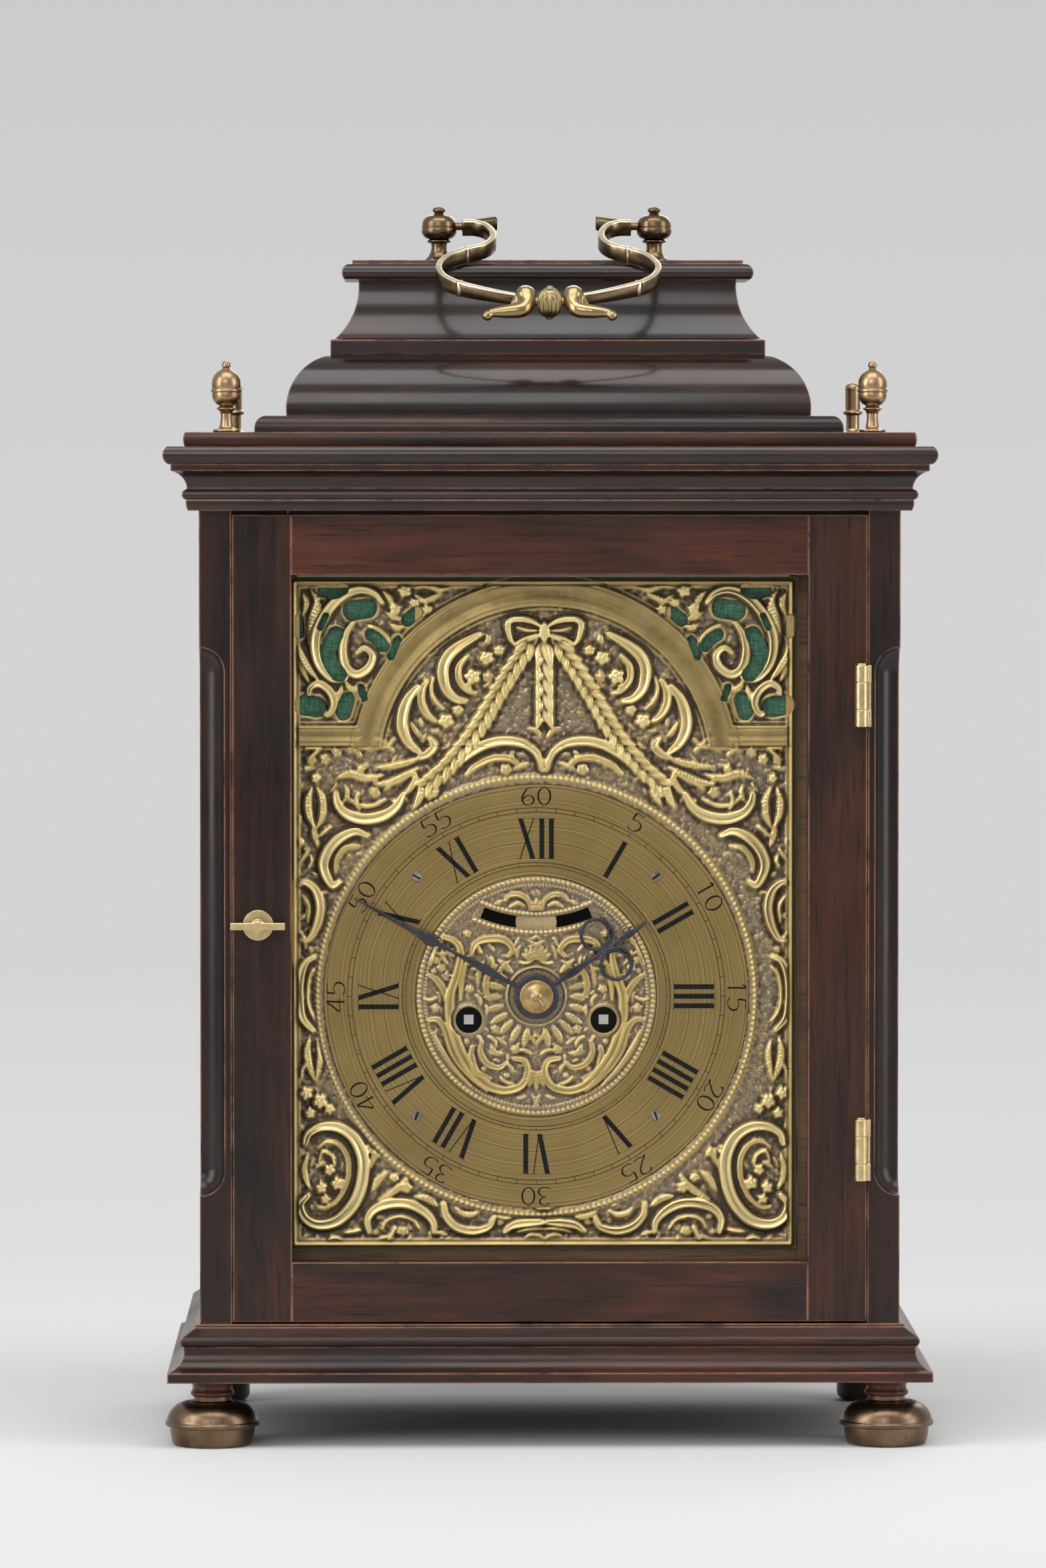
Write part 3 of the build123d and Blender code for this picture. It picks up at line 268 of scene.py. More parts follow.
def turned_brass(name, base, dark, rough):
    """Flat brass with the fine turning marks of the lathe, round the ring's middle."""
    tree, shader = new_material(name)
    middle = (RING_X * MM, 0, RING_Z * MM)
    place = add(tree, "VectorMath", place_of(tree), middle, operation="SUBTRACT").outputs[0]
    place = add(tree, "VectorMath", place, (1, 0, 1), operation="MULTIPLY").outputs[0]
    radius = add(tree, "VectorMath", place, operation="LENGTH").outputs["Value"]
    radius = maths(tree, "ADD", radius, times(tree, noise(tree, 22.0, 2.0, 0.5), 0.0035))
    lines = add(tree, "TexNoise", noise_dimensions="1D", W=radius, Scale=1400.0, Detail=5.0,
                Roughness=0.75).outputs["Fac"]
    colour = mix(tree, remap(tree, lines, 0.36, 0.64), dark, base)
    cloud = remap(tree, noise(tree, 30.0, 4.0, 0.6), 0.35, 0.75, 0.0, 0.45)
    put(tree, shader, Base_Color=mix(tree, cloud, colour, dim(dark, 0.8)), Metallic=0.85,
        Roughness=remap(tree, lines, 0.3, 0.7, rough, rough + 0.12))
    bump(tree, shader, lines, 0.25, 0.00015)


def shaded_steel(name, front_y):
    """Steel that is bright at its front end and painted near black behind it, as painted shade deep in the
    hole.
    """
    tree, shader = new_material(name)
    y = add(tree, "SeparateXYZ", place_of(tree)).outputs["Y"]
    rubs = noise(tree, 240.0, 4.0, 0.6)
    clean = mix(tree, rubs, (0.50, 0.49, 0.48), (0.78, 0.77, 0.75))
    # Only the front end keeps the steel's colour; behind it the steel is painted near black as shade
    bright = remap(tree, y, front_y * MM, (front_y - 0.6) * MM)
    put(tree, shader, Base_Color=mix(tree, bright, (0.012, 0.010, 0.009), clean), Metallic=0.7,
        Roughness=remap(tree, rubs, 0.3, 0.7, 0.28, 0.45))
    bump(tree, shader, rubs, 0.1)


def glass(name):
    tree, shader = new_material(name)
    film = noise(tree, 12.0, 4.0, 0.6)
    put(tree, shader, Roughness=remap(tree, film, 0.3, 0.7, 0.03, 0.07), Alpha=0.035, Specular_IOR_Level=0.6,
        Base_Color=mix(tree, film, (0.02, 0.03, 0.028), (0.04, 0.05, 0.047)))


def silk(name, shadow, body, light):
    tree, shader = new_material(name)
    weave = times(tree, noise(tree, 30.0, 2.0, 0.5, (8, 1, 60)), noise(tree, 30.0, 2.0, 0.5, (60, 1, 8)))
    colour = ramp(tree, weave, [(0.14, shadow), (0.30, body), (0.45, light)])
    put(tree, shader, Base_Color=colour, Roughness=0.75, Sheen_Weight=0.25)
    bump(tree, shader, weave, 0.5, 0.0003)


def ink(name, body, faded, bare):
    """Black wax let into engraving, chipped here and there down to the brass; the same black also floors the
    ring screws' slots as painted shade.
    """
    tree, shader = new_material(name)
    chips = noise(tree, 300.0, 4.0, 0.7)
    put(tree, shader, Base_Color=ramp(tree, chips, [(0.35, body), (0.62, faded), (0.78, bare)]),
        Roughness=remap(tree, chips, 0.3, 0.7, 0.5, 0.7), Specular_IOR_Level=0.15)
    bump(tree, shader, chips, 0.3, 0.0001)


BLACK, RED = (0.0068, 0.0042, 0.0034), (0.058, 0.0175, 0.0090)
wood("wood_up", "z", BLACK, RED, 0.38)
wood("wood_across", "x", BLACK, RED, 0.42, shift=0.3)
wood("wood_deep", "x", (0.0065, 0.0042, 0.0038), (0.030, 0.009, 0.0055), 0.45, gloss=0.15, shift=0.5,
     coat=0.45)
wood("rail_red", "x", (0.010, 0.0050, 0.0036), (0.078, 0.0215, 0.0102), 0.48, shift=0.8)
wood("side_dark", "z", (0.0065, 0.0042, 0.0036), (0.046, 0.0140, 0.0085), 0.30, richest=0.6, shift=0.2)
wood("inner_wood", "x", (0.10, 0.055, 0.028), (0.20, 0.11, 0.055), 0.5, gloss=0.45)
wood("collar_wood", "z", (0.045, 0.014, 0.009), (0.12, 0.035, 0.018), 0.6)
metal("bail_bronze", (0.215, 0.150, 0.086), (0.075, 0.049, 0.029), 0.24, grime=0.8)
metal("bail_edge", (0.86, 0.76, 0.55), (0.50, 0.38, 0.22), 0.26, grime=0.6, scale=130)
metal("leaf_gilt", (0.36, 0.275, 0.135), (0.15, 0.105, 0.052), 0.18, scale=35, scratch=0.03,
      edge=(0.86, 0.72, 0.46))
metal("knob_bronze", (0.20, 0.135, 0.074), (0.09, 0.058, 0.034), 0.20, grime=0.6, scale=40, scratch=0.03)
metal("foot_bronze", (0.225, 0.150, 0.094), (0.085, 0.052, 0.034), 0.26, grime=0.8, scale=70,
      edge=(0.55, 0.44, 0.30))
metal("acorn_brass", (0.42, 0.29, 0.165), (0.20, 0.12, 0.07), 0.27, grime=0.7, scale=120)
metal("collet_brass", (0.60, 0.42, 0.17), (0.30, 0.18, 0.06), 0.24, grime=0.8, scale=200,
      edge=(0.90, 0.74, 0.42))
metal("pale_brass", (0.74, 0.58, 0.31), (0.40, 0.28, 0.13), 0.24, grime=0.6, scale=150,
      edge=(0.90, 0.76, 0.48))
metal("movement_brass", (0.66, 0.47, 0.20), (0.40, 0.26, 0.10), 0.30)
# The movement's front plate, painted near black as the shade seen through the winding holes and the slot
metal("plate_painted_shade", (0.030, 0.024, 0.018), (0.012, 0.010, 0.009), 0.65, grime=0.6, metallic=0.6)
metal("blued_steel", (0.080, 0.078, 0.098), (0.034, 0.030, 0.033), 0.28, grime=0.7, scale=160,
      edge=(0.22, 0.22, 0.26))
metal("screw_steel", (0.42, 0.40, 0.37), (0.16, 0.13, 0.11), 0.32, grime=0.9, scale=260)
metal("steel", (0.55, 0.54, 0.53), (0.30, 0.28, 0.26), 0.25, scale=120, edge=(0.8, 0.8, 0.8))
metal("bell_metal", (0.56, 0.46, 0.30), (0.30, 0.22, 0.12), 0.28)
turned_brass("ring_brass", (0.45, 0.320, 0.120), (0.20, 0.135, 0.046), 0.33)
embossed("embossed_brass", ground=(0.36, 0.280, 0.180), body=(0.52, 0.375, 0.125), crest_gilt_and_highlight=(0.93, 0.75, 0.37),
         olive=(0.39, 0.280, 0.110), rough=0.25)
# Winding arbors: clean steel at the squares' ends, painted shade behind them
shaded_steel("winding_steel_shaded", SQUARE_Y)
glass("window_glass")
silk("green_silk", (0.040, 0.130, 0.078), (0.095, 0.275, 0.165), (0.170, 0.400, 0.260))
ink("ink", (0.003, 0.003, 0.003), (0.007, 0.006, 0.006), (0.06, 0.04, 0.02))

# Each CAD node wears the material named after its slot, unless it is listed here
BY_SLOT = {"ebonised_wood": "wood_across", "aged_bronze": "knob_bronze"}
BY_NODE = {
    "side_dark": ("left_side", "right_side"),
    "wood_up": ("door_stiles", "back_door_stiles"),
    "rail_red": ("door_rails",),
    "wood_deep": ("bell_cushion", "bell_neck", "bell_top_board", "cornice_moulding"),
    "foot_bronze": ("front_feet",),
    "acorn_brass": ("finials",),
    # painted shade on the movement's front plate
    "plate_painted_shade": ("front_plate",),
    "winding_steel_shaded": ("going_winding_arbor", "strike_winding_arbor"),
}
OWN = {node: look for look, nodes in BY_NODE.items() for node in nodes}
for part in frame["record"]["subparts"]:
    node, slot = frame["nodes"][part["node"]], part["material_slot"]
    chosen = MAT[OWN.get(part["node"], BY_SLOT.get(slot, slot))]
    if node.material_slots:
        for place in node.material_slots:
            place.material = chosen
    else:
        node.data.materials.append(chosen)


def piece(name, verts, faces, looks, slot, body="case", shade=True, attributes=(), skins=None):
    """A mesh in millimetres riding on a body; skins gives each face its place in the list of looks."""
    mesh = bpy.data.meshes.new(name)
    mesh.from_pydata([tuple(float(c) * MM for c in v) for v in verts], [], faces)
    for look in looks:
        mesh.materials.append(MAT[look])
    if skins is not None:
        mesh.polygons.foreach_set("material_index", skins)
    mesh.validate()
    for key, values in attributes:
        layer = mesh.attributes.new(key, "FLOAT", "POINT")
        layer.data.foreach_set("value", np.asarray(values, np.float32))
    for polygon in mesh.polygons:
        polygon.use_smooth = shade
    obj = bpy.data.objects.new(name, mesh)
    bpy.context.scene.collection.objects.link(obj)
    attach(obj, body)
    return obj


# Embossed dial

def blurred(heights, rounds, reach=1, own=1):
    """Each height averaged with those reach cells away, own times its own weight, some rounds over."""
    for _ in range(rounds):
        heights = (heights * own + np.roll(heights, reach, 0) + np.roll(heights, -reach, 0)
                   + np.roll(heights, reach, 1) + np.roll(heights, -reach, 1)) / (own + 4)
    return heights


class Relief:
    """A height field over part of the dial, in millimetres in front of the ground; middle is its axis."""

    def __init__(self, x0, x1, z0, z1, step, middle):
        self.step, self.middle = step, middle
        self.xs = np.arange(x0, x1 + step * 0.5, step)
        self.zs = np.arange(z0, z1 + step * 0.5, step)
        self.X, self.Z = np.meshgrid(self.xs, self.zs)
        self.H, self.plain = np.zeros_like(self.X), np.zeros_like(self.X)
        self.keep = np.full_like(self.X, 99.0)
        self.middles = (self.X[:-1, :-1] + self.X[1:, 1:]) / 2, (self.Z[:-1, :-1] + self.Z[1:, 1:]) / 2

    def window(self, x, z, reach):
        i0 = max(0, int((x - reach - self.xs[0]) / self.step))
        i1 = min(len(self.xs), int((x + reach - self.xs[0]) / self.step) + 2)
        j0 = max(0, int((z - reach - self.zs[0]) / self.step))
        j1 = min(len(self.zs), int((z + reach - self.zs[0]) / self.step) + 2)
        return slice(j0, j1), slice(i0, i1)

    def stroke(self, points, width, height, shape="scroll", ends=(0.45, 0.45)):
        """A raised line through points (mm); width and height are half width and height in mm."""
        line = smooth(points, 0.35)
        seg = np.gradient(line, axis=0)
        run = distances(line)
        total = max(run[-1], 1e-6)
        near = np.full_like(self.H, 9.0)
        signed = np.zeros_like(self.H)
        along = np.zeros_like(self.H)
        low = self.window(*line.min(axis=0), width + 1)
        high = self.window(*line.max(axis=0), width + 1)
        box = (slice(low[0].start, high[0].stop), slice(low[1].start, high[1].stop))
        for (x, z), (tx, tz), s in zip(line, seg, run):
            f = s / total
            swell = min(lerp(ends[0], 1, min(f / 0.35, 1) ** 0.7),
                        lerp(ends[1], 1, min((1 - f) / 0.35, 1) ** 0.7))
            if shape == "leaf":
                swell = max(0.12, math.sin(math.pi * min(max(f, 0.02), 0.98)) ** 0.7)
            w = width * swell
            sl = self.window(x, z, w + self.step)
            dx, dz = self.X[sl] - x, self.Z[sl] - z
            d = np.hypot(dx, dz) / w
            better = d < near[sl]
            side = np.sign(dx * tz - dz * tx)
            near[sl] = np.where(better, d, near[sl])
            signed[sl] = np.where(better, d * side, signed[sl])
            along[sl] = np.where(better, s, along[sl])
        t = np.clip(near[box], 0, 1)
        ts = signed[box]
        s = along[box]
        rise = np.clip((1 - t) / 0.22, 0, 1)
        rise = rise * rise * (3 - 2 * rise)
        if shape == "scroll":
            form = rise * (0.50 + 0.50 * np.exp(-((ts - 0.55) / 0.26) ** 2)
                           + 0.32 * np.exp(-((ts + 0.62) / 0.2) ** 2))
        elif shape == "leaf":
            form = np.sqrt(1 - t ** 2) * (0.80 - 0.28 * np.exp(-(ts / 0.14) ** 2)
                                          + 0.16 * np.cos(2 * math.pi * (s / 1.5 - np.abs(ts) * 0.8)))
        elif shape == "ribbon":
            form = rise * (0.75 + 0.25 * np.abs(ts))
        else:
            form = np.sqrt(1 - t ** 2)
        form = np.where(near[box] < 1, form * height, 0)
        self.H[box] = np.maximum(self.H[box], form)

    def leaf(self, root, angle, length, width, height):
        """One leaf laid over what is already there, rising from its root to its tip."""
        sl = self.window(*root, length + 0.5)
        dx, dz = self.X[sl] - root[0], self.Z[sl] - root[1]
        s = (dx * math.cos(angle) + dz * math.sin(angle)) / length
        t = (dz * math.cos(angle) - dx * math.sin(angle)) / width
        inside = (s > 0) & (s < 1)
        half = np.sqrt(np.clip(s, 0, 1)) * (1 - np.clip(s, 0, 1)) * 2.6
        t = t / np.maximum(half, 0.02)
        form = height * (0.40 + 0.60 * s) * np.sqrt(np.clip(1 - t * t, 0, 1))
        form *= 1 - 0.30 * np.exp(-(t / 0.16) ** 2)
        self.H[sl] = np.where(inside & (np.abs(t) < 1), form, self.H[sl])

    def dome(self, x, z, r, height, base=0.0):
        sl = self.window(x, z, r)
        d = np.hypot(self.X[sl] - x, self.Z[sl] - z) / r
        ball = base + height * np.sqrt(np.clip(1 - d * d, 0, 1))
        self.H[sl] = np.where(d < 1, np.maximum(self.H[sl], ball), self.H[sl])

    def hollow(self, x, z, r, depth):
        sl = self.window(x, z, r)
        d = np.hypot(self.X[sl] - x, self.Z[sl] - z) / r
        self.H[sl] = np.where(d < 1, np.maximum(self.H[sl] - depth * (1 - d * d), 0), self.H[sl])

    def flower(self, x, z, r, height, turn=0.3):
        for k in range(5):
            a = turn + 2 * math.pi * k / 5
            self.dome(x + 0.60 * r * math.cos(a), z + 0.60 * r * math.sin(a), 0.44 * r, height * 0.8, 0.25)
            self.hollow(x + 0.66 * r * math.cos(a), z + 0.66 * r * math.sin(a), 0.17 * r, 0.35)
        self.dome(x, z, 0.30 * r, height * 0.7, 0.5)

    def fan(self, x, z, start, end, count, r0, r1, width, height):
        """Leaves spread from one angle to another in degrees, the outer ones shorter."""
        for k in range(count):
            a = math.radians(lerp(start, end, k / (count - 1)))
            reach = r1 * (1 - 0.18 * abs(2 * k / (count - 1) - 1))
            radii = (r0, lerp(r0, reach, 0.5), reach)
            self.stroke([(x + r * math.cos(a), z + r * math.sin(a)) for r in radii], width, height, "leaf")

    def beads(self, radius, r, height, count):
        """Beads of radius r on a circle round the ring's middle."""
        for k in range(count):
            a = 2 * math.pi * k / count
            self.dome(RING_X + radius * math.cos(a), RING_Z + radius * math.sin(a), r, height, 0.15)

    def cut(self, inside):
        """Takes away what lies inside; inside is a distance, positive within the hole."""
        self.keep = np.minimum(self.keep, -inside)

    def slit(self, points, r):
        """A round-ended opening r wide to each side of a line, with a raised lip."""
        line = smooth(points, 1.0)
        d = np.full_like(self.X, 99.0)
        for a, b in zip(line, line[1:]):
            ab = b - a
            q = max(float(ab @ ab), 1e-9)
            sl = self.window((a[0] + b[0]) / 2, (a[1] + b[1]) / 2, r + 4)
            px, pz = self.X[sl] - a[0], self.Z[sl] - a[1]
            h = np.clip((px * ab[0] + pz * ab[1]) / q, 0, 1)
            d[sl] = np.minimum(d[sl], np.hypot(px - h * ab[0], pz - h * ab[1]))
        self.cut(r - d)
        lip = np.abs(d - r - 0.7)
        self.H = np.maximum(self.H, np.where(lip < 0.7, 0.9 * (1 - (lip / 0.7) ** 2), 0))

    def puff(self, amount, reach):
        """A broad swelling under the ornament, as in sheet metal worked from behind."""
        broad = blurred(self.H, 6, max(1, int(reach / self.step / 3)))
        self.H = self.H * (1 - amount * 0.35) + broad * amount

    def grain(self, seed, height, size):
        """Punched grain over the ground."""
        dice = np.random.default_rng(seed)
        count = int((self.xs[-1] - self.xs[0]) * (self.zs[-1] - self.zs[0]) / size ** 2 * 0.6)
        px, pz = dice.uniform(self.xs[0], self.xs[-1], count), dice.uniform(self.zs[0], self.zs[-1], count)
        for x, z in zip(px, pz):
            j, i = int((z - self.zs[0]) / self.step), int((x - self.xs[0]) / self.step)
            if self.H[j, i] < 0.5:
                sl = self.window(x, z, size * 0.5)
                d = np.hypot(self.X[sl] - x, self.Z[sl] - z) / (size * 0.5)
                self.H[sl] = np.where(d < 1, self.H[sl] + height * (1 - d * d), self.H[sl])

    def ready(self):
        """Finds the hollows and ridges, which the material paints with shade and highlight, and the slope of
        the openings' edges, then softens the surface a little.
        """
        soft = blurred(self.H, 3)
        self.crease = soft - blurred(soft, 5, 2)
        gz, gx = np.gradient(self.keep, self.step)
        self.slope = (gx, gz)
        self.H = blurred(self.H, 1, own=2)

    def sheet(self, name, chosen, node):
        """The chosen cells as a mesh in place of a node; its free edges turn back to the plate."""
        rows, cols = self.H.shape
        good = self.keep > 0
        corner = (good[:-1, :-1].astype(int) + good[1:, :-1] + good[:-1, 1:] + good[1:, 1:])
        cells = np.argwhere((corner >= 2) & chosen)
        x, z, h = self.X.copy(), self.Z.copy(), self.H.copy()
        gx, gz = self.slope
        out = ~good
        size = np.maximum(gx ** 2 + gz ** 2, 0.05)
        x[out] -= (self.keep * gx / size)[out]
        z[out] -= (self.keep * gz / size)[out]
        index = -np.ones(rows * cols, int)
        j, i = cells[:, 0], cells[:, 1]
        first = j * cols + i
        quads = np.stack([first, first + 1, first + cols + 1, first + cols], axis=1)
        used = np.unique(quads)
        index[used] = np.arange(len(used))
        verts = np.stack([x.ravel()[used], RELIEF_Y - h.ravel()[used], z.ravel()[used]], axis=1)
        faces = index[quads]
        edges = {}
        for quad in faces:
            for k in range(4):
                a, b = int(quad[k]), int(quad[(k + 1) % 4])
                key = (min(a, b), max(a, b))
                edges[key] = None if key in edges else (a, b)
        rim = [pair for pair in edges.values() if pair]
        loop = sorted({v for pair in rim for v in pair})
        extra = {v: len(verts) + k for k, v in enumerate(loop)}
        low = verts[loop].copy()
        low[:, 1] = PLATE_Y
        lift, crease, plain = h.ravel()[used] / 3.0, self.crease.ravel()[used], self.plain.ravel()[used]
        # The edges turned back to the plate get a low crease value, so the material paints them dark as
        # painted shade
        attributes = (("lift", np.concatenate([lift, lift[loop] * 0.3])),
                      ("crease", np.concatenate([crease, np.full(len(loop), -0.2)])),
                      ("plain", np.concatenate([plain, plain[loop]])))
        polygons = [tuple(int(v) for v in quad) for quad in faces]
        polygons += [(b, a, extra[a], extra[b]) for a, b in rim]
        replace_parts(piece(name, np.vstack([verts, low]), polygons, ["embossed_brass"], "embossed_brass",
                          attributes=attributes), node)


def both(points, axis=AXIS_U):
    """The points in millimetres, and their mirror image about the dial's middle line."""
    return [dial(u, v) for u, v in points], [dial(2 * axis - u, v) for u, v in points]


plate_lo, plate_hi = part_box("dial_plate")
PLATE = [plate_lo[0] / MM, plate_hi[0] / MM, plate_lo[2] / MM, plate_hi[2] / MM]
field = Relief(*PLATE, 0.42, dial(AXIS_U, 0)[0])
X, Z = field.X, field.Z

# Ground: beaten slightly uneven
field.H += 0.10 * (np.sin(X * 0.9 + np.sin(Z * 0.7)) * np.sin(Z * 0.8 + np.cos(X * 0.6)) + 1)

# Half width in pixels, height in millimetres, shape, and points in the picture
SCROLLS = [
    # tympanum
    (7, 2.4, "scroll", (697, 1050), (682, 1046), (668, 1030), (664, 1003), (672, 982), (690, 966),
     (720, 949)),
    (4, 1.9, "scroll", (712, 1038), (700, 1034), (688, 1018), (688, 998), (700, 982)),
    (7, 2.3, "scroll", (628, 1127), (612, 1112), (603, 1090), (604, 1068), (612, 1046), (626, 1028)),
    (5, 2.0, "scroll", (652, 1080), (640, 1070), (632, 1054), (632, 1036), (640, 1018)),
    (3, 1.6, "round", (664, 1062), (652, 1050), (646, 1034), (650, 1014)),
    (5, 2.0, "scroll", (626, 1136), (640, 1130), (650, 1118), (644, 1106)),
    (6, 2.4, "scroll", (670, 1163), (684, 1146), (702, 1130), (726, 1116), (752, 1110), (782, 1113),
     (802, 1126), (812, 1146)),
    (4, 1.6, "scroll", (700, 1160), (716, 1146), (740, 1136), (764, 1137), (780, 1148)),
    (3.2, 1.7, "scroll", (806, 958), (782, 990), (758, 1026), (738, 1062), (716, 1098), (690, 1136)),
    # ribbon bow
    (4.6, 2.6, "ribbon", (812, 938), (794, 929), (772, 927), (761, 934), (764, 954), (771, 966)),
    (4.2, 2.4, "ribbon", (771, 964), (790, 957), (812, 950)),
    (3.0, 1.6, "round", (776, 940), (792, 944), (810, 944)),
    (4.4, 2.8, "round", (816, 932), (813, 946), (816, 962)),
    # below the band, left
    (7, 2.4, "scroll", (502, 1189), (506, 1206), (520, 1220), (546, 1227), (574, 1222), (594, 1208),
     (604, 1190)),
    (3, 1.2, "round", (520, 1194), (534, 1206), (556, 1208), (578, 1198)),
    (5, 2.1, "leaf", (618, 1214), (628, 1196), (632, 1178), (624, 1164)),
    (5, 2.1, "leaf", (640, 1208), (650, 1190), (650, 1172), (640, 1158)),
    (4, 1.8, "leaf", (604, 1192), (616, 1180), (622, 1166), (616, 1152)),
    (5, 1.8, "leaf", (500, 1166), (524, 1160), (548, 1166), (574, 1162)),
    (5, 1.8, "leaf", (560, 1176), (586, 1172), (608, 1162), (628, 1150)),
    (4, 1.8, "leaf", (560, 1150), (586, 1148), (612, 1142), (636, 1132)),
    (5, 1.9, "leaf", (466, 1180), (460, 1200), (462, 1222), (470, 1240)),
    (5, 1.9, "leaf", (474, 1180), (482, 1198), (482, 1220), (474, 1242)),
    (4, 1.6, "leaf", (468, 1232), (470, 1252), (476, 1270)),
    # left column
    (6.5, 2.4, "scroll", (550, 1252), (532, 1246), (508, 1256), (490, 1276), (484, 1300), (496, 1326),
     (508, 1322)),
    (3.5, 1.5, "scroll", (536, 1268), (516, 1272), (504, 1288), (502, 1306)),
    (5.5, 2.2, "scroll", (447, 1326), (456, 1322), (472, 1334), (479, 1358), (475, 1384), (464, 1406),
     (452, 1410)),
    (3, 1.3, "round", (454, 1344), (462, 1360), (460, 1382)),
    (5.5, 2.2, "scroll", (473, 1434), (458, 1442), (449, 1464), (447, 1494), (452, 1526), (468, 1546)),
    (3, 1.6, "round", (474, 1450), (464, 1462), (460, 1492), (464, 1516), (474, 1532)),
    (5, 1.8, "leaf", (462, 1556), (458, 1578), (462, 1600), (470, 1622)),
    (4, 1.8, "leaf", (474, 1560), (478, 1580), (476, 1604), (472, 1624)),
    # bottom corner cartouche
    (7.5, 2.7, "scroll", (456, 1716), (462, 1700), (482, 1690), (508, 1692), (530, 1708), (543, 1738),
     (541, 1776), (528, 1808), (504, 1832), (476, 1838), (456, 1828), (449, 1808), (460, 1794)),
    (3.6, 1.7, "scroll", (474, 1722), (490, 1712), (508, 1718), (520, 1738), (520, 1768), (508, 1796),
     (490, 1812), (474, 1812)),
    (3, 1.5, "round", (476, 1742), (482, 1728), (496, 1734), (500, 1750)),
    (4, 1.6, "leaf", (460, 1730), (454, 1750), (456, 1770), (464, 1786)),
    (4, 1.5, "leaf", (548, 1762), (556, 1744), (568, 1730)),
    (4.5, 1.7, "leaf", (556, 1790), (566, 1772), (580, 1758)),
    (4.5, 1.7, "leaf", (566, 1800), (584, 1792), (600, 1780), (612, 1764)),
    # along the bottom
    (6, 2.4, "scroll", (552, 1850), (550, 1830), (562, 1814), (586, 1806), (612, 1807), (634, 1818),
     (648, 1834), (650, 1850)),
    (3, 1.4, "round", (572, 1846), (580, 1832), (598, 1826), (618, 1832), (628, 1846)),
    (5, 2.1, "scroll", (664, 1806), (668, 1826), (684, 1842), (708, 1848), (732, 1842), (740, 1828)),
    (3.5, 1.6, "leaf", (682, 1812), (692, 1822), (708, 1824), (720, 1816)),
    (5, 2.1, "scroll", (756, 1850), (768, 1840), (790, 1836), (816, 1835)),
    (2.6, 1.2, "round", (776, 1850), (794, 1846), (816, 1845)),
    (4, 1.5, "leaf", (620, 1796), (640, 1800), (656, 1812)),
    (4, 1.5, "leaf", (736, 1816), (752, 1826), (770, 1828)),
    # pierced corner
    (6.2, 2.6, "scroll", (572, 902), (560, 888), (536, 883), (508, 896), (486, 922), (472, 956), (476, 992),
     (496, 1016), (518, 1016)),
    (5.4, 2.5, "scroll", (529, 932), (518, 950), (513, 974), (518, 998), (534, 1010), (552, 1000),
     (558, 982), (546, 970), (534, 978)),
    (4.5, 2.1, "scroll", (552, 936), (566, 944), (578, 958), (574, 976)),
    (5, 2.3, "scroll", (462, 1042), (464, 1030), (478, 1024), (494, 1036), (500, 1054), (492, 1070),
     (482, 1066)),
    (5, 2.1, "leaf", (444, 962), (452, 984), (464, 1004), (478, 1020)),
    (3.5, 1.7, "leaf", (446, 980), (452, 1004), (462, 1022)),
    (4.5, 2.1, "leaf", (464, 880), (474, 900), (466, 926), (460, 950)),
    (4, 1.9, "leaf", (482, 902), (474, 924), (464, 944), (462, 966)),
    (4, 1.7, "leaf", (452, 884), (458, 904), (452, 922)),
    (4, 1.9, "leaf", (516, 1020), (526, 1032), (540, 1030)),
    (3.5, 1.7, "leaf", (512, 1026), (508, 1040), (512, 1052)),
    (4, 1.9, "leaf", (574, 884), (584, 896), (590, 912)),
    (4, 1.9, "leaf", (584, 934), (596, 940), (604, 936)),
    (4, 1.9, "leaf", (578, 916), (590, 924), (604, 926)),
    (4, 1.9, "leaf", (620, 880), (640, 876), (658, 882), (676, 880)),
    (4, 1.8, "leaf", (628, 902), (646, 896), (662, 888)),
    (3, 1.6, "leaf", (622, 890), (634, 898), (640, 906)),
    (3, 1.5, "leaf", (574, 874), (590, 876), (600, 872)),
]
# Place in the picture, radius in pixels and height in millimetres
FLOWERS = [
    (708, 1013, 13, 2.3), (729, 985, 12, 2.2), (748, 973, 9, 2.0), (700, 1030, 7, 1.6),
    (668, 1080, 12, 2.0), (686, 1064, 8, 1.7), (606, 884, 11, 2.2), (592, 911, 10, 2.1), (640, 912, 8, 1.9),
    (620, 902, 8, 1.9), (472, 1166, 8, 2.0), (457, 1640, 11, 2.0), (478, 1652, 12, 2.1),
    (463, 1670, 9, 1.9), (492, 1664, 8, 1.7), (480, 1782, 10, 2.1), (504, 1776, 11, 2.2),
    (492, 1756, 9, 1.9), (486, 1800, 8, 1.8), (608, 1783, 9, 1.7), (590, 1768, 7, 1.5), (540, 1152, 7, 1.6),
    (448, 1262, 7, 1.5), (712, 1806, 6, 1.5),
]
for width, height, shape, *points in SCROLLS:
    for line in both(points):
        field.stroke(line, width * PX * (1.5 if shape in ("scroll", "leaf") else 1.2), height, shape)
for u, v, r, height in FLOWERS:
    for side in (u, 2 * AXIS_U - u):
        x, z = dial(side, v)
        field.flower(x, z, r * PX, height, turn=u * 0.37)


def laurel(relief, path, step, length, width, height, spread):
    """Pairs of leaves lapped like shingles along a path; all but height in the picture's pixels."""
    line = np.array([dial(*p) for p in smooth(path, 1.0)])
    run = distances(line)
    for s in np.arange(0, run[-1], step * PX)[::-1]:
        k = min(int(np.searchsorted(run, s)), len(line) - 2)
        way = line[k + 1] - line[k]
        turn = math.atan2(way[1], way[0])
        for hand in (-1, 1):
            relief.leaf(line[k], turn + hand * math.radians(spread), length * PX, width * PX, height)


SWAG = [(796, 962), (770, 1000), (744, 1042), (722, 1080), (700, 1112), (672, 1146), (640, 1176)]
for path in (SWAG, [(2 * AXIS_U - u, v) for u, v in SWAG]):
    laurel(field, path, 17, 30, 7.5, 2.3, 30)
laurel(field, [(816, 962), (816, 1076)], 23, 42, 10.5, 2.8, 17)

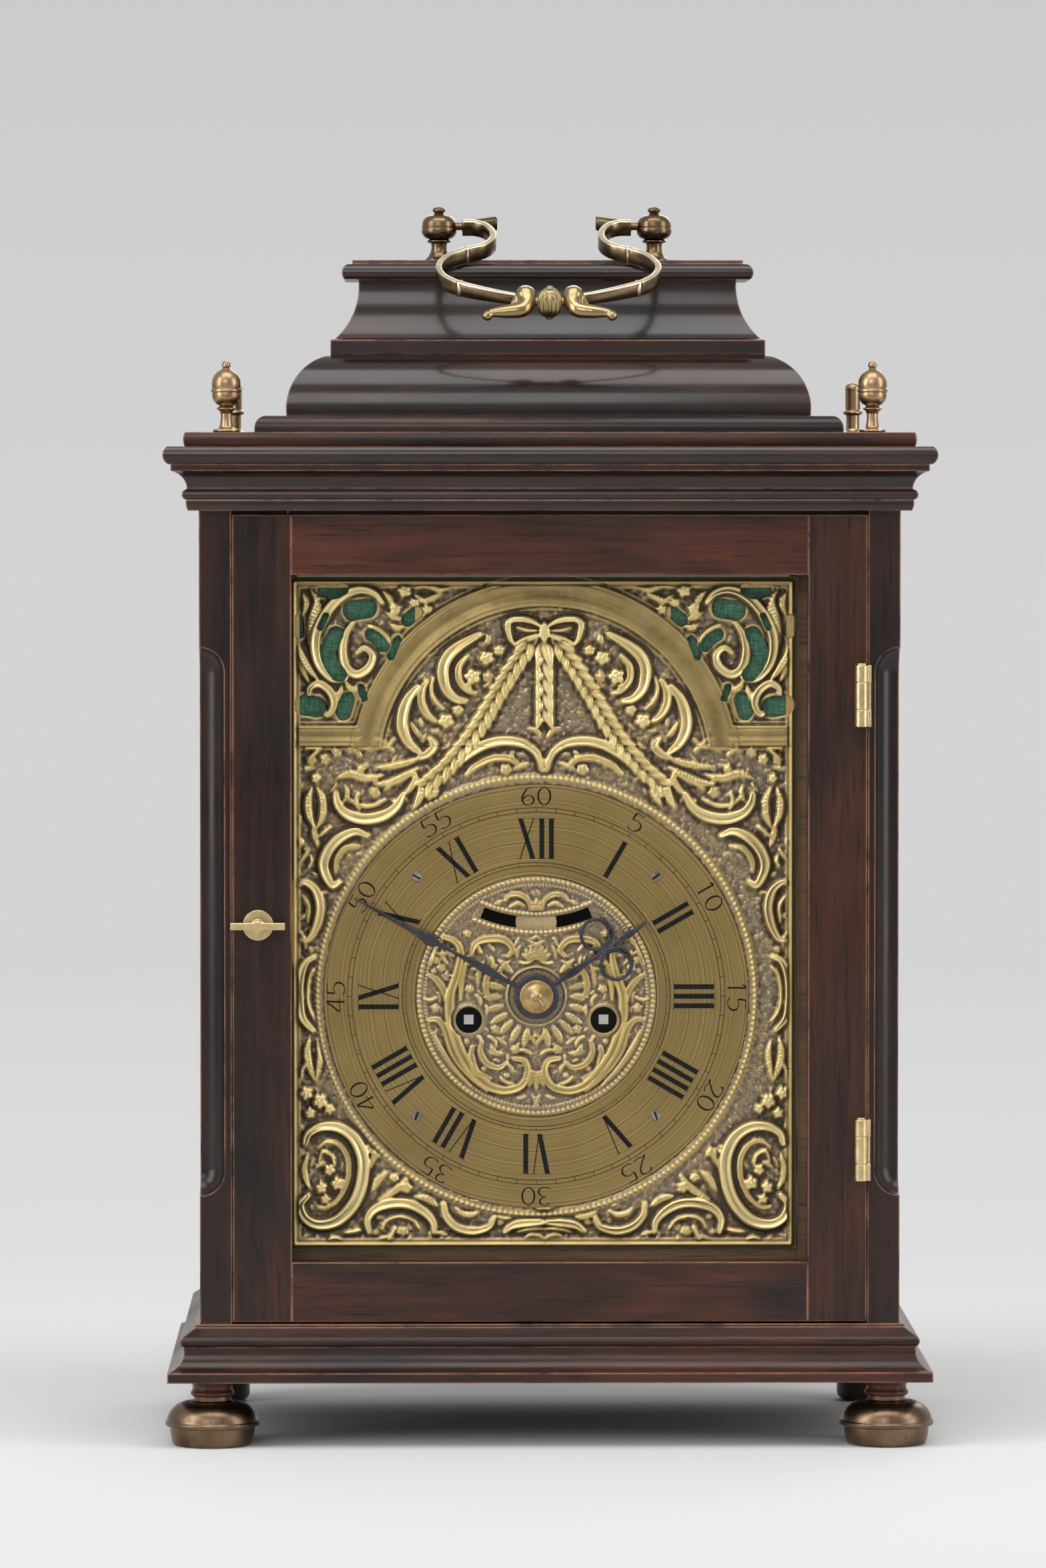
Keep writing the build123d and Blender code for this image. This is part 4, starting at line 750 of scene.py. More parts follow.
# Fans of leaves: middle in the picture, first and last angle, count, inner and outer radius, half width
FANS = ((560, 1716, 200, 300, 4, 2, 8, 1.2), (545, 1216, 20, 70, 3, 12, 18, 1.2),
        (816, 1822, 50, 130, 5, 1, 7, 1.2), (816, 1160, 60, 120, 5, 0, 7, 1.2))
for u, v, a0, a1, *rest in FANS:
    field.fan(*dial(u, v), a0, a1, *rest, 1.7)
    field.fan(*dial(2 * AXIS_U - u, v), 180 - a0, 180 - a1, *rest, 1.7)

# Small foliage, curls and punched grain fill what is left of the ground
rng = np.random.default_rng(7)


def ground_work(relief, count, inside, size, height):
    """Scatters short curled leaves over the ground that inside(x, z) allows, mirrored about the middle."""
    x0, z0, z1 = relief.xs[0], relief.zs[0], relief.zs[-1]
    middle = relief.middle
    placed = 0
    for _ in range(count * 8):
        x, z = rng.uniform(x0 + 3, middle), rng.uniform(z0 + 3, z1 - 3)
        turn, bend, long = rng.uniform(0, 2 * math.pi), rng.uniform(-1.6, 1.6), rng.uniform(0.7, 1.4) * size
        kind = rng.integers(0, 4)
        if not inside(x, z):
            continue
        j, i = int((z - relief.zs[0]) / relief.step), int((x - relief.xs[0]) / relief.step)
        k = max(1, int(size * 0.35 / relief.step))
        if relief.H[max(0, j - k):j + k + 1, max(0, i - k):i + k + 1].max() > 0.45:
            continue
        line = []
        px, pz, way = x, z, turn
        for _ in range(5):
            line.append((px, pz))
            px += long / 4 * math.cos(way)
            pz += long / 4 * math.sin(way)
            way += bend / 4
        for hand in (0, 1):
            points = line if hand == 0 else [(2 * middle - a, b) for a, b in line]
            if kind == 3:
                relief.flower(*points[0], size * 0.36, height * 0.8, turn)
            else:
                relief.stroke(points, size * 0.17, height, "leaf" if kind else "round", (0.8, 0.3))
        placed += 1
        if placed >= count:
            break


# The arch's centre and the level arms' edges in the picture, and the band's radii in millimetres
ARCH_U, ARCH_V, ARM_TOP_V, ARM_LOW_V = 817, 1157, 1086, 1119
ARCH_X, ARCH_Z = dial(ARCH_U, ARCH_V)
ARM_TOP, ARM_LOW = dial(ARCH_U, ARM_TOP_V)[1], dial(ARCH_U, ARM_LOW_V)[1]
BAND_IN, BAND_OUT = 67.3, 79.4


def open_ground(x, z):
    """Outside the chapter ring, and within the arch band clear of the bow's ends."""
    if math.hypot(x - RING_X, z - RING_Z) < 93:
        return False
    off = abs(x - ARCH_X)
    return z <= 284 or math.hypot(off, z - ARCH_Z) < 64 and not (5 < off < 22 and z > 290)


ground_work(field, 260, open_ground, 6.4, 1.45)
ground_work(field, 260, open_ground, 3.8, 1.1)
field.puff(0.60, 3.0)
field.grain(3, 0.28, 1.3)

# Arch band and its level arms
reach = np.hypot(X - ARCH_X, Z - ARCH_Z)
arc = np.where(Z > ARM_LOW, np.abs(reach - (BAND_IN + BAND_OUT) / 2) - (BAND_OUT - BAND_IN) / 2, 9)
arm = np.where(reach > BAND_IN + 1, np.abs(Z - (ARM_TOP + ARM_LOW) / 2) - (ARM_TOP - ARM_LOW) / 2, 9)
depth = -np.minimum(arc, arm)
cove = (1.9 * np.clip(depth / 0.5, 0, 1) - 0.55 * np.clip((depth - 1.0) / 0.5, 0, 1)
        + 0.45 * np.clip((depth - 1.7) / 0.5, 0, 1) - 0.95 * np.clip((depth - 2.3) / 3.0, 0, 1))
field.H = np.where(depth > 0, cove, field.H)
field.plain = np.clip(depth / 0.6, 0, 1) * np.where(depth < 0.9, 0.55, 1.0)
line = np.abs(depth + 0.9)
field.H = np.where((depth <= 0) & (line < 0.5), np.maximum(field.H, 1.2 * (1 - (line / 0.5) ** 2)), field.H)

# Raised border round the plate
rim = np.minimum(np.minimum(X - PLATE[0], PLATE[1] - X), np.minimum(Z - PLATE[2], PLATE[3] - Z))
edge = 0.5 + 1.25 * np.exp(-((rim - 2.2) / 0.75) ** 2) + 0.45 * np.exp(-((rim - 4.1) / 0.45) ** 2)
field.H = np.where(rim < 4.9, np.maximum(edge, np.where(rim > 3.4, field.H, 0)), field.H)
field.plain = np.where(rim < 4.0, 0.6, field.plain)

# Beads round the chapter ring
field.H = np.where(np.abs(np.hypot(X - RING_X, Z - RING_Z) - 89.2) < 1.9, 0.5, field.H)
field.beads(89.3, 0.98, 1.15, 246)

# Openings over the green silk: a line in the picture and half the opening's width
OPENINGS = [
    ([(484, 884), (500, 889), (514, 882)], 8.5), ([(528, 914), (550, 911)], 14),
    ([(610, 928), (624, 917)], 9),
    ([(503, 950), (492, 974), (497, 996), (508, 1010)], 11.5), ([(556, 950), (566, 957), (575, 968)], 9),
    ([(456, 1056), (473, 1059)], 15), ([(520, 1048), (514, 1068)], 10.5), ([(447, 926), (448, 950)], 6),
    ([(540, 1030), (546, 1046)], 5), ([(596, 958), (586, 984)], 5.5), ([(488, 922), (480, 940)], 5),
]
for points, r in OPENINGS:
    for line in both(points):
        field.slit(line, r * PX)
field.cut(86.45 - np.hypot(X - RING_X, Z - RING_Z))
field.H = np.clip(field.H, 0, 2.9)
field.ready()

mx, mz = field.middles
in_arch = (np.hypot(mx - ARCH_X, mz - ARCH_Z) < 80.2) & (mz > ARM_LOW)
field.sheet("relief_tympanum", in_arch, "dial_relief")
SPLIT_Z = RING_Z - 30.0
LEVELS = (("corner", ARM_LOW, math.inf), ("side", SPLIT_Z, ARM_LOW), ("foot", -math.inf, SPLIT_Z))
for part, low, high in LEVELS:
    for side, half in (("left", mx < ARCH_X), ("right", mx >= ARCH_X)):
        chosen = ~in_arch & (mz > low) & (mz <= high) & half
        field.sheet("relief_%s_%s" % (part, side), chosen, "dial_relief")

# Centre of the dial: symmetric about the ring's own middle
HALF = 49.6
disc = Relief(RING_X - HALF, RING_X + HALF, RING_Z - HALF, RING_Z + HALF, 0.3, RING_X)
X, Z = disc.X, disc.Z
disc.H += 0.05 * (np.sin(X * 1.3 + np.sin(Z)) * np.sin(Z * 1.2) + 1)
# Strokes of the centre disc, written as the ones before
CENTRE = [
    (6.5, 1.45, "scroll", (662, 1404), (682, 1412), (690, 1432), (684, 1462), (674, 1496), (676, 1536),
     (694, 1586), (722, 1622), (752, 1636), (780, 1630), (791, 1610), (786, 1592), (770, 1588)),
    (5, 1.3, "scroll", (706, 1432), (714, 1414), (734, 1408), (756, 1410), (768, 1424), (762, 1434)),
    (3.5, 1.0, "round", (700, 1440), (692, 1470), (690, 1500)),
    (5, 1.1, "scroll", (644, 1446), (650, 1420), (662, 1410)),
    (4.5, 1.1, "scroll", (642, 1462), (654, 1470), (666, 1488), (670, 1510)),
    (5.5, 1.2, "scroll", (642, 1530), (656, 1530), (668, 1546), (680, 1580), (704, 1612), (730, 1636)),
    (3, 0.9, "round", (648, 1548), (660, 1572), (680, 1602), (706, 1630)),
    (4.5, 1.2, "scroll", (708, 1570), (706, 1586), (714, 1608), (734, 1618)),
    (4, 1.25, "scroll", (722, 1562), (720, 1580), (730, 1596), (748, 1602), (760, 1594)),
    (3.5, 1.1, "leaf", (736, 1566), (742, 1580), (756, 1580)),
    (3.6, 1.3, "scroll", (757, 1350), (764, 1342), (778, 1341), (790, 1348), (794, 1358)),
    (2.6, 0.9, "round", (764, 1360), (776, 1354), (786, 1358)),
    (3, 1.0, "leaf", (736, 1368), (744, 1356), (754, 1350)),
    (3, 1.0, "leaf", (720, 1380), (728, 1368), (738, 1360)),
    (4, 1.1, "scroll", (744, 1448), (732, 1462), (728, 1482), (734, 1500)),
    (3, 1.0, "leaf", (726, 1440), (718, 1458), (716, 1480)),
    (3, 1.0, "leaf", (766, 1440), (752, 1452), (744, 1470)),
]
for width, height, shape, *points in CENTRE:
    for line in both(points, RING_U):
        disc.stroke(line, width * PX * 1.35, height, shape)
for k in range(9):
    for hand in (-1, 1):
        a = math.radians(-90 + hand * (14 + k * 15))
        ray = [(RING_X + r * math.cos(a), RING_Z + r * math.sin(a)) for r in (13.5, 17.5, 21.5)]
        disc.stroke(ray, 1.5, 1.05, "leaf")
disc.fan(*dial(RING_U, 1600), 230, 310, 5, 2, 10, 1.3, 1.2)
disc.fan(*dial(RING_U, 1376), 60, 120, 5, 1, 8, 1.1, 1.1)
disc.fan(*dial(RING_U, 1448), 40, 140, 7, 2, 9, 1.1, 1.0)
for hand in (-1, 1):
    for u, v, r in ((655, 1440, 6), (652, 1512, 7), (700, 1400, 6), (664, 1370, 5)):
        x, z = dial(RING_U + hand * (u - RING_U), v)
        disc.flower(x, z, r * PX, 0.9)


def disc_ground(x, z):
    """Between the collet's ring and the beads, clear of the slot."""
    return 14 < math.hypot(x - RING_X, z - RING_Z) < 43 and not RING_Z + 26 < z < RING_Z + 37


ground_work(disc, 120, disc_ground, 5.0, 1.0)
ground_work(disc, 140, disc_ground, 3.1, 0.8)
disc.puff(0.5, 2.4)
disc.grain(5, 0.14, 1.1)
reach = np.hypot(X - RING_X, Z - RING_Z)
disc.H = np.where(reach > 46.0, np.where(reach > 48.9, 0.2, 0.35), disc.H)
disc.beads(47.7, 0.95, 0.75, 146)
disc.beads(45.4, 0.62, 0.55, 200)

# The curved slot: its middle line is an arc about a point high above
SLOT_R, SLOT_Z, SLOT_H = 58.7, 269.5, 4.8
across = np.hypot(X - RING_X, Z - SLOT_Z)
angle = np.degrees(np.arctan2(X - RING_X, SLOT_Z - Z))
past_ends = (np.abs(angle) - 22.0) * math.radians(1) * SLOT_R
outside = np.maximum(np.abs(across - SLOT_R) - SLOT_H / 2, past_ends)
disc.H = np.where(outside < 2.6, 0.25, disc.H)
for offset in (-SLOT_H / 2 - 1.4, SLOT_H / 2 + 1.4):
    for k in range(27):
        a = math.radians(-90 + lerp(-23.5, 23.5, k / 26))
        r = SLOT_R + offset
        disc.dome(RING_X + r * math.cos(a), SLOT_Z + r * math.sin(a), 0.8, 0.75, 0.2)
disc.cut(-outside)

# Winding holes and the hole for the hands, each in a plain round
WIND_X, WIND_DROP = 27.5, 9.7
for hand in (-1, 1):
    d = np.hypot(X - RING_X - hand * WIND_X, Z - RING_Z + WIND_DROP)
    disc.H = np.where(d < 7.4, np.where(d < 6.5, 0.55, 0.3), disc.H)
    disc.cut(5.45 - d)
d = np.hypot(X - RING_X, Z - RING_Z)
disc.H = np.where(d < 12.6, 0.15 + 0.5 * np.exp(-((d - 11.8) / 0.5) ** 2), disc.H)
disc.cut(6.1 - d)
disc.cut(d - 49.2)
disc.H = np.clip(disc.H, 0, 1.5)
disc.ready()
disc.sheet("relief_centre", True, "centre_disc")

# Green silk behind the pierced corners
lo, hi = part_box("dial_cloth")
CLOTH_W, CLOTH_L = 53.0, (hi[2] - lo[2]) / MM
for side, x0 in (("left", lo[0] / MM), ("right", hi[0] / MM - CLOTH_W)):
    n, m = 36, 40
    verts, faces = [], []
    for j in range(m + 1):
        for i in range(n + 1):
            wave = 0.08 * math.sin(i * 0.9 + j * 0.23) + 0.06 * math.sin(j * 0.7)
            verts.append((x0 + CLOTH_W * i / n, SILK_Y + wave, lo[2] / MM + CLOTH_L * j / m))
            if i < n and j < m:
                a = j * (n + 1) + i
                faces.append((a, a + 1, a + n + 2, a + n + 1))
    cloth = piece("silk_" + side, verts, faces, ["green_silk"], "green_silk")
    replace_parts(cloth, "dial_cloth")

# Chapter ring: numerals, minutes and engraved circles, filled with black wax

def on_ring(a, u, r):
    """u to the right and r outwards at an angle of a degrees clockwise from twelve."""
    s, c = math.sin(math.radians(a)), math.cos(math.radians(a))
    return RING_X + r * s + u * c, RING_Z + r * c - u * s


class Flat:
    """Thin flat shapes just proud of the ring."""

    def __init__(self, front, back):
        self.front, self.back = front, back
        self.verts, self.faces = [], []

    def outline(self, points):
        n, k = len(points), len(self.verts)
        area = sum(a[0] * b[1] - b[0] * a[1] for a, b in zip(points, points[1:] + points[:1]))
        if area < 0:
            points = points[::-1]
        self.verts += [(x, self.front, z) for x, z in points] + [(x, self.back, z) for x, z in points]
        self.faces.append(tuple(range(k, k + n)))
        for i in range(n):
            j = (i + 1) % n
            self.faces.append((k + j, k + i, k + n + i, k + n + j))

    def ribbon(self, line, widths):
        line = np.array(line)
        way = np.gradient(line, axis=0)
        way /= np.maximum(np.linalg.norm(way, axis=1), 1e-9)[:, None]
        side = np.stack([-way[:, 1], way[:, 0]], axis=1) * np.array(widths)[:, None] / 2
        left, right = line + side, line - side
        for i in range(len(line) - 1):
            self.outline([tuple(left[i]), tuple(left[i + 1]), tuple(right[i + 1]), tuple(right[i])])

    def circle(self, radius, width, count=180):
        low, high = radius - width / 2, radius + width / 2
        for i in range(count):
            a, b = i * 360 / count, (i + 1) * 360 / count
            self.outline([on_ring(a, 0, low), on_ring(b, 0, low), on_ring(b, 0, high), on_ring(a, 0, high)])

    def bar(self, a, u0, r0, u1, r1, w):
        """A stroke w wide from (u0, r0) to (u1, r1) at the angle a, its ends cut along the circle."""
        self.outline([on_ring(a, u0 - w / 2, r0), on_ring(a, u0 + w / 2, r0),
                      on_ring(a, u1 + w / 2, r1), on_ring(a, u1 - w / 2, r1)])

    def serif(self, a, u, r, reach):
        self.bar(a, u, r - 0.11, u, r + 0.11, 2 * reach)


numerals = Flat(RING_Y - 0.06, RING_Y)
R_LOW, R_HIGH, THICK, THIN, PITCH = 56.2, 72.4, 2.0, 0.45, 3.9


WIDTHS = {"I": PITCH, "V": 8.6, "X": 8.4}
for hour, text in enumerate(("XII", "I", "II", "III", "IIII", "V", "VI", "VII", "VIII", "IX", "X", "XI")):
    angle = 30.0 * hour
    span = sum(WIDTHS[c] for c in text)
    u = -span / 2
    for c in text:
        w = WIDTHS[c]
        mid = u + w / 2
        if c == "I":
            numerals.bar(angle, mid, R_LOW, mid, R_HIGH, THICK)
            for r in (R_LOW, R_HIGH):
                numerals.serif(angle, mid, r, THICK * 0.78)
        elif c == "V":
            numerals.bar(angle, mid + 0.6, R_LOW, mid - 2.6, R_HIGH, THICK)
            numerals.bar(angle, mid + 0.9, R_LOW, mid + 3.0, R_HIGH, THIN)
            numerals.serif(angle, mid - 2.6, R_HIGH, THICK * 0.8)
            numerals.serif(angle, mid + 3.0, R_HIGH, 1.0)
        else:
            numerals.bar(angle, mid + 2.5, R_LOW, mid - 2.5, R_HIGH, THICK)
            numerals.bar(angle, mid - 2.7, R_LOW, mid + 2.7, R_HIGH, THIN)
            for r, hand in ((R_LOW, 1), (R_HIGH, -1)):
                numerals.serif(angle, mid + hand * 2.5, r, THICK * 0.8)
                numerals.serif(angle, mid - hand * 2.7, r, 1.0)
        u += w
piece("roman_numerals", numerals.verts, numerals.faces, ["ink"], "blued_steel", shade=False)

minutes = Flat(RING_Y - 0.04, RING_Y)
# Each digit as a pen line, in shares of its height
DIGITS = {
    "0": [(0.30, 1.0), (0.10, 0.82), (0.03, 0.5), (0.10, 0.18), (0.30, 0.0), (0.50, 0.18), (0.57, 0.5),
          (0.50, 0.82), (0.30, 1.0)],
    "1": [(0.16, 0.84), (0.30, 1.0), (0.30, 0.5), (0.30, 0.0)],
    "2": [(0.06, 0.78), (0.12, 0.95), (0.30, 1.0), (0.50, 0.92), (0.54, 0.74), (0.44, 0.5), (0.20, 0.2),
          (0.03, 0.02), (0.20, 0.07), (0.42, 0.0), (0.58, 0.10)],
    "3": [(0.08, 0.88), (0.25, 1.0), (0.45, 0.95), (0.52, 0.78), (0.42, 0.60), (0.25, 0.53), (0.45, 0.47),
          (0.57, 0.28), (0.48, 0.06), (0.25, 0.0), (0.05, 0.10)],
    "4": [(0.44, 0.0), (0.44, 0.5), (0.44, 1.0), (0.22, 0.64), (0.02, 0.30), (0.30, 0.30), (0.60, 0.30)],
    "5": [(0.54, 1.0), (0.34, 0.97), (0.14, 0.98), (0.11, 0.56), (0.30, 0.62), (0.52, 0.50), (0.56, 0.27),
          (0.42, 0.05), (0.20, 0.0), (0.03, 0.10)],
    "6": [(0.52, 0.96), (0.28, 0.90), (0.10, 0.58), (0.05, 0.28), (0.18, 0.03), (0.42, 0.03), (0.56, 0.25),
          (0.46, 0.50), (0.26, 0.52), (0.09, 0.34)],
}
D_LOW, SIZE, WIDE, STEP = 78.0, 7.4, 1.25, 0.72
for number in range(5, 65, 5):
    text = str(number)
    angle = 6.0 * number
    u = WIDE * SIZE * (0.05 - STEP * len(text) / 2)
    for c in text:
        line = smooth(DIGITS[c], 0.05)
        way = np.gradient(line, axis=0)
        steep = np.abs(way[:, 1]) / np.maximum(np.linalg.norm(way, axis=1), 1e-9)
        pts = [on_ring(angle, u + x * SIZE * WIDE, D_LOW + y * SIZE) for x, y in line]
        minutes.ribbon(pts, 0.30 + 0.46 * steep ** 2)
        u += STEP * SIZE * WIDE
# The minute track outside the hours and the quarter-hour track inside them
TRACKS = ((75.2, 76.9, 60, 0.26), (53.2, 54.6, 48, 0.16))
for low, high, count, width in TRACKS:
    minutes.circle(low, 0.24)
    minutes.circle(high, 0.24)
    for k in range(count):
        minutes.bar(360 * k / count, 0, low, 0, high, width)
piece("minute_numbers", minutes.verts, minutes.faces, ["ink"], "blued_steel", shade=False)

# Hands: bevelled blued steel, cut and filed by hand

class Plates:
    """Bevelled flat straps facing the front."""

    def __init__(self, front, back, bevel=0.35):
        self.front, self.back, self.bevel = front, back, bevel
        self.verts, self.faces = [], []

    def strap(self, line, widths, closed=False):
        """A flat strap along a line of (x, z), its front edges bevelled."""
        line, widths = np.array(line, float), np.array(widths, float)
        count = len(line)
        if closed:
            way = np.roll(line, -1, 0) - np.roll(line, 1, 0)
        else:
            way = np.gradient(line, axis=0)
        way /= np.maximum(np.linalg.norm(way, axis=1), 1e-9)[:, None]
        side = np.stack([-way[:, 1], way[:, 0]], axis=1)
        base = len(self.verts)
        for (x, z), (sx, sz), w in zip(line, side, widths / 2):
            b = min(self.bevel, w * 0.6)
            for reach, y in ((-w, self.back), (-w, self.front + b), (b - w, self.front), (w - b, self.front),
                             (w, self.front + b), (w, self.back)):
                self.verts.append((x + sx * reach, y, z + sz * reach))
        for i in range(count if closed else count - 1):
            a, b = base + 6 * i, base + 6 * ((i + 1) % count)
            for k in range(6):
                m = (k + 1) % 6
                self.faces.append((b + k, b + m, a + m, a + k))
        if not closed:
            self.faces.append(tuple(base + k for k in range(6)))
            self.faces.append(tuple(base + 6 * (count - 1) + k for k in range(5, -1, -1)))

    def ring(self, x, z, radius, width, heavy=0.0, extra=0.0, count=72):
        """A closed ring, wider by extra towards the direction heavy (radians, anticlockwise from +X)."""
        angles = 2 * math.pi * np.arange(count) / count
        widths = [width + extra * max(0.0, math.cos(a - heavy)) for a in angles]
        self.strap([(x + radius * math.cos(a), z + radius * math.sin(a)) for a in angles], widths, True)

    def blade(self, a, outline):
        """A tapering strap out along the angle a; outline gives radius and width."""
        radii = np.arange(outline[0][0], outline[-1][0] + 0.01, 0.75)
        widths = np.interp(radii, [r for r, _ in outline], [w for _, w in outline])
        for _ in range(2):
            widths[1:-1] = (widths[:-2] + widths[1:-1] * 2 + widths[2:]) / 4
        self.strap([on_ring(a, 0, r) for r in radii], widths)


HOUR_ANGLE, MINUTE_ANGLE = 56.0, 298.5
lo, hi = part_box("hour_hand")
hour = Plates(lo[1] / MM, hi[1] / MM)
hour.ring(RING_X, RING_Z, 4.6, 4.0)
hour.blade(HOUR_ANGLE, [(6.0, 2.4), (9.5, 1.5), (13, 2.2), (17.5, 3.5), (20, 3.3), (24, 1.9), (28, 1.3),
                        (36, 1.4), (40, 1.6), (42.5, 2.2), (45, 3.1), (47, 2.6), (50, 1.4), (55, 0.5)])
for hand in (-1, 1):
    x, z = on_ring(HOUR_ANGLE, hand * 7.3, 34.3)
    tip = on_ring(HOUR_ANGLE, 0, 44.0)
    hour.ring(x, z, 6.15, 1.4, math.atan2(tip[1] - z, tip[0] - x), 1.1)
    # the strap that leads each ring into the root of the spear
    lead = ((6.2, 40.4), (3.0, 39.2), (1.2, 40.6), (0.3, 43.0))
    line = smooth([on_ring(HOUR_ANGLE, hand * u, r) for u, r in lead], 0.4)
    hour.strap(line, np.linspace(1.2, 1.0, len(line)))
hour_hand = piece("hour_hand_filed", hour.verts, hour.faces, ["blued_steel"], "blued_steel", "hour_hand",
                  shade=False)
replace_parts(hour_hand, "hour_hand")

lo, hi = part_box("minute_hand")
minute = Plates(lo[1] / MM, hi[1] / MM)
minute.ring(RING_X, RING_Z, 5.7, 6.8)
minute.blade(MINUTE_ANGLE, [(8.6, 1.7), (12, 1.5), (17, 2.4), (22, 3.6), (26, 3.4), (31, 2.1), (37, 1.4),
                            (42, 1.2), (45, 1.6), (47.5, 4.6), (49.5, 5.6), (52, 3.6), (56, 2.2), (64, 1.6),
                            (74, 1.2), (85, 0.5)])
minute_hand = piece("minute_hand_filed", minute.verts, minute.faces, ["blued_steel"], "blued_steel",
                    "minute_hand", shade=False)
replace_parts(minute_hand, "minute_hand")


def join(parts):
    """Several shapes, each its corners and faces, as one."""
    verts, faces = [], []
    for more_verts, more_faces in parts:
        base = len(verts)
        verts += more_verts
        faces += [tuple(base + k for k in face) for face in more_faces]
    return verts, faces


# Ring screws: each head is two halves with the slot between them, over a sunk floor painted black as the
# shade in the slot
SCREW_R, SCREW_PLACE, SLOT_HALF, SLOT_TURNS = 1.9, 69.0, 0.28, (35, 110, 70, 150)
lo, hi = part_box("ring_screws")
heads = Plates(lo[1] / MM, hi[1] / MM, 0.25)
sunk = Plates(lerp(lo[1], hi[1], 0.6) / MM, hi[1] / MM, 0.05)
for k in range(4):
    x, z = on_ring(45 + 90 * k, 0, SCREW_PLACE)
    turn = math.radians(SLOT_TURNS[k])
    sunk.ring(x, z, SCREW_R * 0.45, SCREW_R * 0.89, count=32)
    for hand in (-1, 1):
        line, widths = [], []
        for f in np.linspace(-0.97, 0.97, 15):
            half = math.sqrt(1 - f * f) * SCREW_R
            inner = min(SLOT_HALF, half)
            across = hand * (half + inner) / 2
            line.append((x + f * SCREW_R * math.cos(turn) - across * math.sin(turn),
                         z + f * SCREW_R * math.sin(turn) + across * math.cos(turn)))
            widths.append(max(0.05, half - inner))
        heads.strap(line, widths)
kinds = [0] * len(heads.faces) + [1] * len(sunk.faces)
screws = piece("slotted_screws", *join([(heads.verts, heads.faces), (sunk.verts, sunk.faces)]),
               ["screw_steel", "ink"], "steel", shade=False, skins=kinds)
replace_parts(screws, "ring_screws")


def skin(rings):
    """Corners and faces of a closed skin over rings of as many points each, looking outwards."""
    n = len(rings[0])
    verts = [tuple(p) for ring in rings for p in ring]
    faces = []
    for i in range(len(rings) - 1):
        for k in range(n):
            m = (k + 1) % n
            faces.append((i * n + k, i * n + m, (i + 1) * n + m, (i + 1) * n + k))
    faces.append(tuple(range(n - 1, -1, -1)))
    faces.append(tuple(range((len(rings) - 1) * n, len(rings) * n)))
    v = np.array(verts)
    volume = sum(v[f[0]] @ np.cross(v[f[k]], v[f[k + 1]]) for f in faces for k in range(1, len(f) - 1))
    if volume < 0:
        faces = [tuple(reversed(f)) for f in faces]
    return verts, faces


def round_points(radius, count):
    """Points round a circle about the origin."""
    turns = np.linspace(0, 2 * math.pi, count, endpoint=False)
    return [(radius * math.cos(a), radius * math.sin(a)) for a in turns]


# Domed collet, turned about a line along Y, and the pin through its end
COLLET_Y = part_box("hand_collet")[1][1] / MM
PROFILE = ((1.6, 0), (6.6, 0), (6.9, 0.25), (6.75, 0.5), (6.3, 0.62), (5.9, 0.5), (4.6, 0.95), (3.0, 1.3),
           (1.8, 1.4), (1.55, 1.9), (1.3, 2.1), (0.05, 2.15))
collet = skin([[(RING_X + x, COLLET_Y - out, RING_Z + z) for x, z in round_points(r, 48)]
               for r, out in PROFILE])
PIN_WAY, PIN_HALF, PIN_OUT = math.radians(40), 5.2, 1.75
pin_rings = []
for s in np.linspace(-PIN_HALF, PIN_HALF, 9):
    r = lerp(0.26, 0.42, (s + PIN_HALF) / (2 * PIN_HALF))
    x, z = RING_X - s * math.sin(PIN_WAY), RING_Z + s * math.cos(PIN_WAY)
    pin_rings.append([(x + a * math.cos(PIN_WAY), COLLET_Y - PIN_OUT + b, z + a * math.sin(PIN_WAY))
                      for a, b in round_points(r, 10)])
pin = skin(pin_rings)
domed = piece("domed_collet", *join([collet, pin]), ["collet_brass", "steel"], "pale_brass", "minute_hand",
              skins=[0] * len(collet[1]) + [1] * len(pin[1]))
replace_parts(domed, "hand_collet")

# Carrying handle: a flat bail with scrolled leaves and a ribbed acorn
PIVOT_Z = 496.1
DROOP = math.radians(24.5)


def bail(u, v, n):
    """u across, v out from the pins, n down through the bail's own plane."""
    c, s = math.cos(DROOP), math.sin(DROOP)
    return u, n * s - v * c, PIVOT_Z - v * s - n * c


def strip_rings(points, thick, wide, ridges):
    """Rounded oblong sections along a line (u, v), raised at the ridges; also how far each is raised."""
    line = smooth(points, 0.7)
    way = np.gradient(line, axis=0)
    way /= np.linalg.norm(way, axis=1)[:, None]
    run = distances(line)
    marks = [run[int(np.argmin(np.linalg.norm(line - np.array(r), axis=1)))] for r in ridges]
    rings, raised = [], []
    for (u, v), (tu, tv), s in zip(line, way, run):
        f = s / run[-1]
        t, w = np.interp(f, *thick) / 2, np.interp(f, *wide) / 2
        grow = sum(math.exp(-((s - m) / 0.55) ** 2) for m in marks)
        raised.append(grow)
        t, w = t + 0.6 * grow, w + 0.2 * grow
        c = 0.35
        corners = ((t, c - w), (t, w - c), (t - c, w), (c - t, w),
                   (-t, w - c), (-t, c - w), (c - t, -w), (t - c, -w))
        rings.append([bail(u - tv * a, v + tu * a, b) for a, b in corners])
    return rings, raised


def rod(points, radii, squash=1.0, count=16):
    """A round rod along a line in the bail's space; radii are evenly spaced or pairs of place and radius."""
    line = smooth(points, 0.4)
    way = np.gradient(line, axis=0)
    way /= np.linalg.norm(way, axis=1)[:, None]
    place = np.linspace(0, 1, len(line))
    if isinstance(radii[0], tuple):
        knots, radii = zip(*radii)
    else:
        knots = np.linspace(0, 1, len(radii))
    rings = []
    for p, t, f in zip(line, way, place):
        r = float(np.interp(f, knots, radii))
        across = np.cross(t, (0, 0, 1.0))
        across /= np.linalg.norm(across)
        up = np.cross(across, t)
        rings.append([bail(*(p + a * across + squash * b * up)) for a, b in round_points(r, count)])
    return skin(rings)


